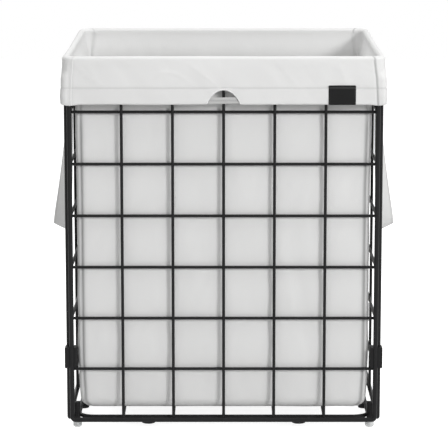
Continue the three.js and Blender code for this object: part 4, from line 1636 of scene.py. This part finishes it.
        # Painted shade: the right cuff seam gets the larger share, standing for the side turned from the key
        # lamp.
        cuff_seam_and_shade = np.where(right, *self.cuff_seam_and_painted_shade_shares[::-1]) * self.cuff_seam_and_painted_shade.at(near)
        seam[:, self.rows["fold"]:] = cuff_seam_and_shade[:, None]
        hem = self.rows["seam"]
        seam[:, hem] = np.maximum(seam[:, hem], self.hem_line_and_painted_shade)
        faces = sheet_faces(columns, rows, closed=True)
        piece = PieceMaker.cloth("liner_shell", points.reshape(-1, 3), faces, LINER_CLOTH, self.cloth,
                                 places, seam.reshape(-1))
        PieceMaker.settle(piece, Body.LINER, Slot.BAG, [
            f"{part}_{place}" for part in ("bag", "cuff") for place in ("front", "rear", "left", "right")])

    def _hem_stitches(self, points: np.ndarray) -> None:
        """Sews the hem all round.

        Args:
            points: The shell's points.
        """
        row = points[:, self.rows["seam"] + 1, :]
        out = np.array([(math.cos(wall.angle), math.sin(wall.angle), 0.0) for wall in self.columns])
        run = row + out * (self.cloth / 2 + self.stitch_rise)
        sew("hem_stitches", [run], Body.LINER, Slot.BAG, closed=True)

    def _bottom_point(self, side: Side, u: float, v: float) -> Point:
        """Places one point of a bin's bottom.

        Args:
            side: Which bin.
            u: How far from the divider to the side, from 0 to 1.
            v: How far from the front to the rear, from 0 to 1.

        Returns:
            The point in metres.
        """
        inset_x, inset_y = (self.bottom_taper + reach - 1.5 * MM for reach in self.bottom_round[:2])
        half_y = self.half_depth - inset_y
        x = side.value * (self.bin_gap + (self.half_width - inset_x - self.bin_gap) * u)
        y = -half_y + 2 * half_y * v
        rim = min(u, 1 - u, v, 1 - v)
        sag = self.bin_unevenness.at(x, y, 0.0) - self.bin_sag * min(rim * 4, 1.0)
        return (x + self.hang_aside * u, y, self.bottom + sag + self.bin_seam.at(rim))

    def _bottoms(self) -> None:
        """Makes the stiffened bottom of each bin, with its stitched border."""
        count_x, count_y = 50, 72
        near = self.bin_seam.middle
        steps = np.linspace(near, 1 - near, 40)
        border = [(u, near) for u in steps] + [(1 - near, v) for v in steps[1:]]
        border += [(u, 1 - near) for u in steps[-2::-1]] + [(near, v) for v in steps[-2:0:-1]]
        lifted = Vector((0, 0, self.bin_stitch_rise))
        for side in Side:
            name = side.name.lower()
            points = [self._bottom_point(side, u, v) for u, v in spread(count_x, count_y)]
            faces = sheet_faces(count_x, count_y, side is Side.LEFT)
            piece = PieceMaker.cloth(f"bottom_{name}", points, faces, LINER_CLOTH, self.bin_thickness,
                                     [spot[:2] for spot in points])
            PieceMaker.settle(piece, Body.LINER, Slot.BAG, [f"bag_bottom_{name}"])
            run = [Vector(self._bottom_point(side, u, v)) + lifted for u, v in border]
            sew(f"bottom_stitches_{name}", [run], Body.LINER, Slot.BAG, closed=True)

    def _divider(self) -> None:
        """Makes the divider, a stretched sheet with a rolled top hem."""
        low, high = self.bottom + self.divider_lift, self.divider_top
        half_y = self.half_depth - self.divider_gap
        count_y, count_z, roll_steps = 60, 84, 6
        rows = count_z + roll_steps
        points, places = [], []
        for i in range(count_y):
            y = -half_y + 2 * half_y * i / (count_y - 1)
            slack = math.cos(math.pi * y / (2 * half_y)) ** 0.7 if abs(y) < half_y else 0.0
            for k in range(rows):
                turn = max(k - count_z + 1, 0) * math.pi / roll_steps
                z = low + (high - low) * min(k / (count_z - 1), 1.0) + self.divider_roll * math.sin(turn)
                roll = self.divider_roll * (1 - math.cos(turn))
                rise = (z - low) / (high - low)
                wave = self.divider_wave * math.sin(rise * 2.4) * noise.noise(Vector((y * 9, z * 3, 7.7)))
                points.append((wave * slack + roll, y, z - self.divider_droop * slack * rise))
                places.append((y, z))
        piece = PieceMaker.cloth("divider_panel", points, sheet_faces(count_y, rows), LINER_CLOTH,
                                 self.cloth, places)
        PieceMaker.settle(piece, Body.LINER, Slot.BAG, ["bag_divider"])

    def _bindings(self, points: np.ndarray) -> None:
        """Binds the bag's bottom edge and the notch.

        Args:
            points: The shell's points.
        """
        bottom = path_mesh("bottom.path", [points[:, 2, :]], True)
        # The bottom binding is dark grey, painted shade along the bag's bottom edge.
        self._binding("bottom_binding", bottom, self.bound_edge, BOTTOM_BINDING_SHADE_CLOTH)
        arc = []
        for step in range(-17, 18):
            x = self.notch_half * math.sin(math.radians(step * 90 / 17))
            arc.append((x, -self.cuff_half[1] - self.bound_notch_rise, self.hem_edge + self._notch_arch(x)))
        self._binding("notch_binding", path_mesh("notch.path", [arc]), self.bound_notch, NOTCH_BINDING)

    @staticmethod
    def _binding(name: str, path: Mesh, cord: tuple[float, float], finish: Finish) -> None:
        """Makes one bound edge, with a cloth map from its own points.

        Args:
            name: The piece's name.
            path: The path that it follows.
            cord: Its half width, and its thickness as a share of its width.
            finish: The surface finish.
        """
        sizes = {"Half Width": cord[0], "Flatness": cord[1], "Finish": finish.material()}
        piece = PieceMaker.from_tree(name, FORMS.piping, sizes, path)
        PieceMaker.map_cloth(piece, [(v.co.x + v.co.y, v.co.z) for v in piece.data.vertices])
        PieceMaker.settle(piece, Body.LINER, Slot.BAG)


@dataclass
class NotchTape:
    """The tape that crosses the notch, with its sewn middle line."""

    half: float = 35.0 * MM
    low: float = 550.8 * MM
    high: float = 561.4 * MM
    front: float = -197.1 * MM
    bow: float = 0.7 * MM
    sway: float = 0.3 * MM
    crown: float = 0.35 * MM
    groove: Ridge = Ridge(-0.5 * MM, 0.5, 0.07)
    mask: Ridge = Ridge(1.0, 0.5, 0.06)
    thickness: float = 1.0 * MM
    thread_radius: float = 0.25 * MM
    steps: tuple[int, int] = (48, 12)

    def _spot(self, u: float, v: float, crown: float) -> Point:
        """Places one point of the tape."""
        y = self.front - self.bow * (1 - u * u) - crown
        return (u * self.half, y, self.low + (self.high - self.low) * v + self.sway * math.sin(u * 3))

    def build(self) -> None:
        """Makes the tape and its stitches."""
        points, seam = [], []
        for u, v in spread(*self.steps):
            crown = self.crown * math.sin(math.pi * v) + self.groove.at(v)
            points.append(self._spot(u * 2 - 1, v, crown))
            seam.append(self.mask.at(v))
        piece = PieceMaker.cloth("notch_crossing_tape", points, sheet_faces(*self.steps), NOTCH_TAPE_SHADE_CLOTH,
                                 self.thickness, [(x, z) for x, _, z in points], seam)
        PieceMaker.settle(piece, Body.LINER, Slot.STRAP, ["notch_tape"])
        line = [self._spot(u, 0.5, self.thickness / 2) for u in np.linspace(-0.97, 0.97, 40)]
        sew("notch_tape_stitches", [line], Body.LINER, Slot.STRAP, radius=self.thread_radius)


@dataclass
class CuffPatch:
    """The bare patch on the hem, with its folded top and stitched border."""

    centre: float = 193.8 * MM
    half: float = 22.3 * MM
    low: float = 549.3 * MM
    high: float = 581.2 * MM
    front: float = -200.8 * MM
    crown: float = 0.55 * MM
    fold: Ridge = Ridge(1.3 * MM, 576.4 * MM, 0.7 * MM)
    fold_top: Ridge = Ridge(-0.7 * MM, 578.9 * MM, 1.5 * MM)
    # Painted highlight: a paler band of colour along the crest of the fold.
    painted_highlight: Ridge = Ridge(1.0, 577.0 * MM, 1.2 * MM)
    unevenness: Wrinkle = Wrinkle(0.25 * MM, 60, 60)
    thickness: float = 1.1 * MM
    sink: float = 0.4 * MM
    stitch_inset: float = 2.4 * MM
    stitch_rise: float = 0.25 * MM
    stitch_pitch: float = 2.6 * MM
    stitch_length: float = 2.0 * MM
    thread_radius: float = 0.3 * MM
    steps: tuple[int, int] = (46, 66)

    def build(self) -> None:
        """Makes the patch and its stitches."""
        middle, rise = (self.low + self.high) / 2, (self.high - self.low) / 2
        points: list[Point] = []
        for shares in spread(*self.steps):
            u, v = (share * 2 - 1 for share in shares)
            lean = 1 - 0.02 * (abs(u) * abs(v)) ** 14
            x, z = self.centre + u * self.half * lean, middle + v * rise * lean
            crown = self.crown * (1 - max(abs(u), abs(v)) ** 6) + self.unevenness.at(x, 0.0, z)
            fold = self.fold.at(z) + self.fold_top.at(z)
            points.append((x, self.front + self.sink - crown + fold, z))
        piece = PieceMaker.from_points("corner_patch", points, sheet_faces(*self.steps), PATCH_LEATHER)
        # Painted highlight along the patch's fold, written as a point attribute.
        fold_highlight = piece.data.attributes.new("fold_highlight", "FLOAT", "POINT")
        fold_highlight.data.foreach_set("value", np.array([self.painted_highlight.at(z) for _, _, z in points], dtype=np.float32))
        PieceMaker.thicken(piece, self.thickness)
        PieceMaker.settle(piece, Body.LINER, Slot.PATCH, ["cuff_patch"])
        inset_x, inset_z = self.half - self.stitch_inset, rise - self.stitch_inset
        corners = [(self.centre + inset_x * across, self.front - self.stitch_rise, middle + inset_z * up)
                   for across, up in ((-1, -1), (1, -1), (1, 1), (-1, 1))]
        sew("patch_stitches", [corners], Body.LINER, Slot.PATCH, PATCH_THREAD, self.stitch_pitch,
            self.stitch_length, self.thread_radius, True)


@dataclass
class CarryStraps:
    """The two long side straps: a flat folded tape that half turns in its loop."""

    hinge_x: float = 265.2 * MM
    spread: float = 55.0 * MM
    top: float = 550.3 * MM
    drop: float = 237.0 * MM
    width: float = 30.0 * MM
    thickness: float = 1.5 * MM
    lean: float = -1.5 * MM
    twist: float = 1.5
    tilt: float = 0.42
    crown: float = 0.5 * MM
    unevenness: float = 0.5 * MM
    pinch: Ridge = Ridge(-0.3 * MM, 0.8, 0.06)
    mask: Ridge = Ridge(0.25, 0.8, 0.05)
    thread_radius: float = 0.28 * MM
    tab_unevenness: float = 0.25 * MM
    tab_inset: float = 3.5 * MM
    stitch_rise: float = 0.2 * MM
    tab_stitch_rise: float = 0.3 * MM
    loop_steps: tuple[int, int] = (120, 11)
    tab_steps: tuple[int, int] = (14, 16)

    def build(self) -> None:
        """Builds both straps and their sewn ends."""
        for side in Side:
            self._loop(side)
            for end in End:
                self._tab(side, end)

    def _spot(self, share: float) -> Vector:
        """Gives one point of the strap's middle line on the right side.

        Args:
            share: How far along the loop, from 0 to 1.

        Returns:
            The point.
        """
        swing = (share - 0.5) * math.pi
        fall = max(math.cos(swing), 0.0)
        out = self.hinge_x - self.lean * fall + fall ** self.twist * self.width / 2
        return Vector((out, self.spread * math.sin(swing), self.top - self.drop * fall))

    def _centre(self, share: float) -> tuple[Vector, Vector]:
        """Gives the strap's middle line and width direction on the right side.

        Args:
            share: How far along the loop, from 0 to 1.

        Returns:
            The point and the unit width direction.
        """
        step = 0.002
        run = (self._spot(min(share + step, 1.0)) - self._spot(max(share - step, 0.0))).normalized()
        fall = max(math.cos((share - 0.5) * math.pi), 0.0)
        reach = fall ** self.twist
        level = math.sqrt(max(1 - reach * reach, 0.0))
        wide = Vector((reach, -level * run.z, level * run.y)).normalized()
        wide.z += self.tilt * fall ** 6
        return self._spot(share), wide.normalized()

    def _loop(self, side: Side) -> None:
        """Makes one strap and the two rows of stitches along it.

        Args:
            side: Which side it hangs on.
        """
        count, across = self.loop_steps
        points, places, seam = [], [], []
        length, step = 0.0, 0.004
        last, _ = self._centre(0.0)
        edges: list[list[Vector]] = [[], []]
        for i in range(count):
            share = i / (count - 1)
            middle, wide = self._centre(share)
            ahead, _ = self._centre(min(share + step, 1.0))
            back, _ = self._centre(max(share - step, 0.0))
            normal = (ahead - back).cross(wide).normalized()
            length += (middle - last).length
            last = middle
            for k in range(across):
                v = k / (across - 1) * 2 - 1
                crown = self.crown * (1 - v * v) + self.pinch.at(abs(v))
                soft = self.unevenness * noise.noise(Vector((share * 9, v * 1.5, side.value)))
                spot = middle + wide * (v * self.width / 2) + normal * (crown + soft)
                points.append((side.value * spot.x, spot.y, spot.z))
                places.append((v * self.width / 2, length))
                seam.append(self.mask.at(abs(v)))
            for row, sign in zip(edges, (-1, 1)):
                reach = sign * self.mask.middle * self.width / 2
                spot = middle + wide * reach + normal * (self.thickness / 2 + self.stitch_rise)
                row.append(Vector((side.value * spot.x, spot.y, spot.z)))
        name = side.name.lower()
        body = Body.STRAP_LEFT if side is Side.LEFT else Body.STRAP_RIGHT
        faces = sheet_faces(count, across, side is Side.RIGHT, turned=True)
        piece = PieceMaker.cloth(f"carry_strap_{name}", points, faces, STRAP_CLOTH, self.thickness,
                                 places, seam)
        PieceMaker.settle(piece, body, Slot.STRAP, [f"strap_{name}"])
        sew(f"strap_stitches_{name}", edges, body, Slot.STRAP, radius=self.thread_radius)

    def _tab(self, side: Side, end: End) -> None:
        """Makes one strap end sewn behind the cuff, with its boxed stitches.

        Args:
            side: Which side it is on.
            end: Which end of the loop it is.
        """
        node = f"strap_{side.name.lower()}_tab_{end.name.lower()}"
        low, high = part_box(node)
        x = side.value * self.hinge_x
        points = []
        for u, v in spread(*self.tab_steps):
            y, z = low[1] + (high[1] - low[1]) * u, low[2] + (high[2] - low[2]) * v
            soft = self.tab_unevenness * noise.noise(Vector((y * 70, z * 70, side.value)))
            points.append((x + soft, y, z))
        faces = sheet_faces(*self.tab_steps, side is Side.LEFT)
        piece = PieceMaker.cloth(node + "_sewn", points, faces, STRAP_CLOTH, self.thickness,
                                 [(y, z) for _, y, z in points])
        PieceMaker.settle(piece, Body.LINER, Slot.STRAP, [node])
        inner = x - side.value * (self.thickness / 2 + self.tab_stitch_rise)
        near, far = low[1] + self.tab_inset, high[1] - self.tab_inset
        foot, head = low[2] + self.tab_inset, high[2] - self.tab_inset
        box = [(near, foot), (far, foot), (far, head), (near, head), (near, foot), (far, head)]
        runs = [[(inner, y, z) for y, z in run] for run in (box, [(far, foot), (near, head)])]
        sew(node + "_stitches", runs, Body.LINER, Slot.STRAP, radius=self.thread_radius)


@dataclass(frozen=True)
class Lamp:
    """One round lamp of the studio."""

    name: str
    place: Point
    power: float
    size: float

    def hang(self, target: Point) -> None:
        """Adds the lamp to the scene.

        Args:
            target: The point that it shines at.
        """
        lamp = bpy.data.lights.new(self.name, "AREA")
        lamp.energy = self.power
        lamp.size = self.size
        lamp.shape = "DISK"
        holder = PieceMaker.show(self.name, lamp)
        holder.location = self.place
        aim = Vector(target) - Vector(self.place)
        holder.rotation_euler = aim.to_track_quat("-Z", "Y").to_euler()


@dataclass
class Studio:
    """The plain white studio: camera, lamps, world and floor."""

    camera_place: Point = (0.0007, -3.8725, 0.992)
    camera_tilt: float = 9.89
    lens: float = 181.6
    sensor: float = 36.0
    ambient: float = 0.55
    key: Lamp = Lamp("key lamp", (3.08, -3.58, 2.3), 117.0, 1.15)
    top: Lamp = Lamp("top lamp", (0.0, -0.5, 3.0), 28.0, 1.5)
    back: Lamp = Lamp("back lamp", (-1.6, 2.4, 1.7), 18.0, 1.4)
    target: Point = (0.0, 0.0, 0.3)
    floor_half: float = 6.0
    floor_z: float = -0.2 * MM

    def build(self) -> None:
        """Sets up the whole studio."""
        self._camera()
        self._world()
        for lamp in (self.key, self.top, self.back):
            lamp.hang(self.target)
        half, z = self.floor_half, self.floor_z
        corners = [(-half, -half, z), (half, -half, z), (half, half, z), (-half, half, z)]
        PieceMaker.from_points("studio_floor", corners, [(0, 1, 2, 3)], StudioFloor("white floor"))

    def _camera(self) -> None:
        """Places the camera at the photograph's angle."""
        lens = bpy.data.cameras.new("studio camera")
        lens.lens = self.lens
        lens.sensor_width = self.sensor
        camera = PieceMaker.show("studio camera", lens)
        camera.location = self.camera_place
        camera.rotation_euler = (math.radians(90 - self.camera_tilt), 0, 0)
        bpy.context.scene.camera = camera

    def _world(self) -> None:
        """Lights the room evenly and shows pure white to the camera."""
        world = bpy.data.worlds.new("studio room")
        world.use_nodes = True
        bench = NodeBench(world.node_tree)
        strength = bench.ramp(seen_share(bench), 0.0, 1.0, self.ambient, 1.0)
        room = bench.add("ShaderNodeBackground", {"Color": WHITE, "Strength": strength})
        output = bench.add("ShaderNodeOutputWorld")
        world.node_tree.links.new(room.outputs[0], output.inputs["Surface"])
        bpy.context.scene.world = world
        bpy.context.scene.view_settings.view_transform = "Standard"


def main() -> None:
    """Builds the hamper and its studio and reports each piece."""
    logging.basicConfig(level=logging.INFO, format="%(message)s")
    for part in (Studio(), WireFrame(), FrameFittings(), FloorClips(), Liner(), NotchTape(), CuffPatch(),
                 CarryStraps()):
        part.build()


if __name__ == "__main__":
    main()
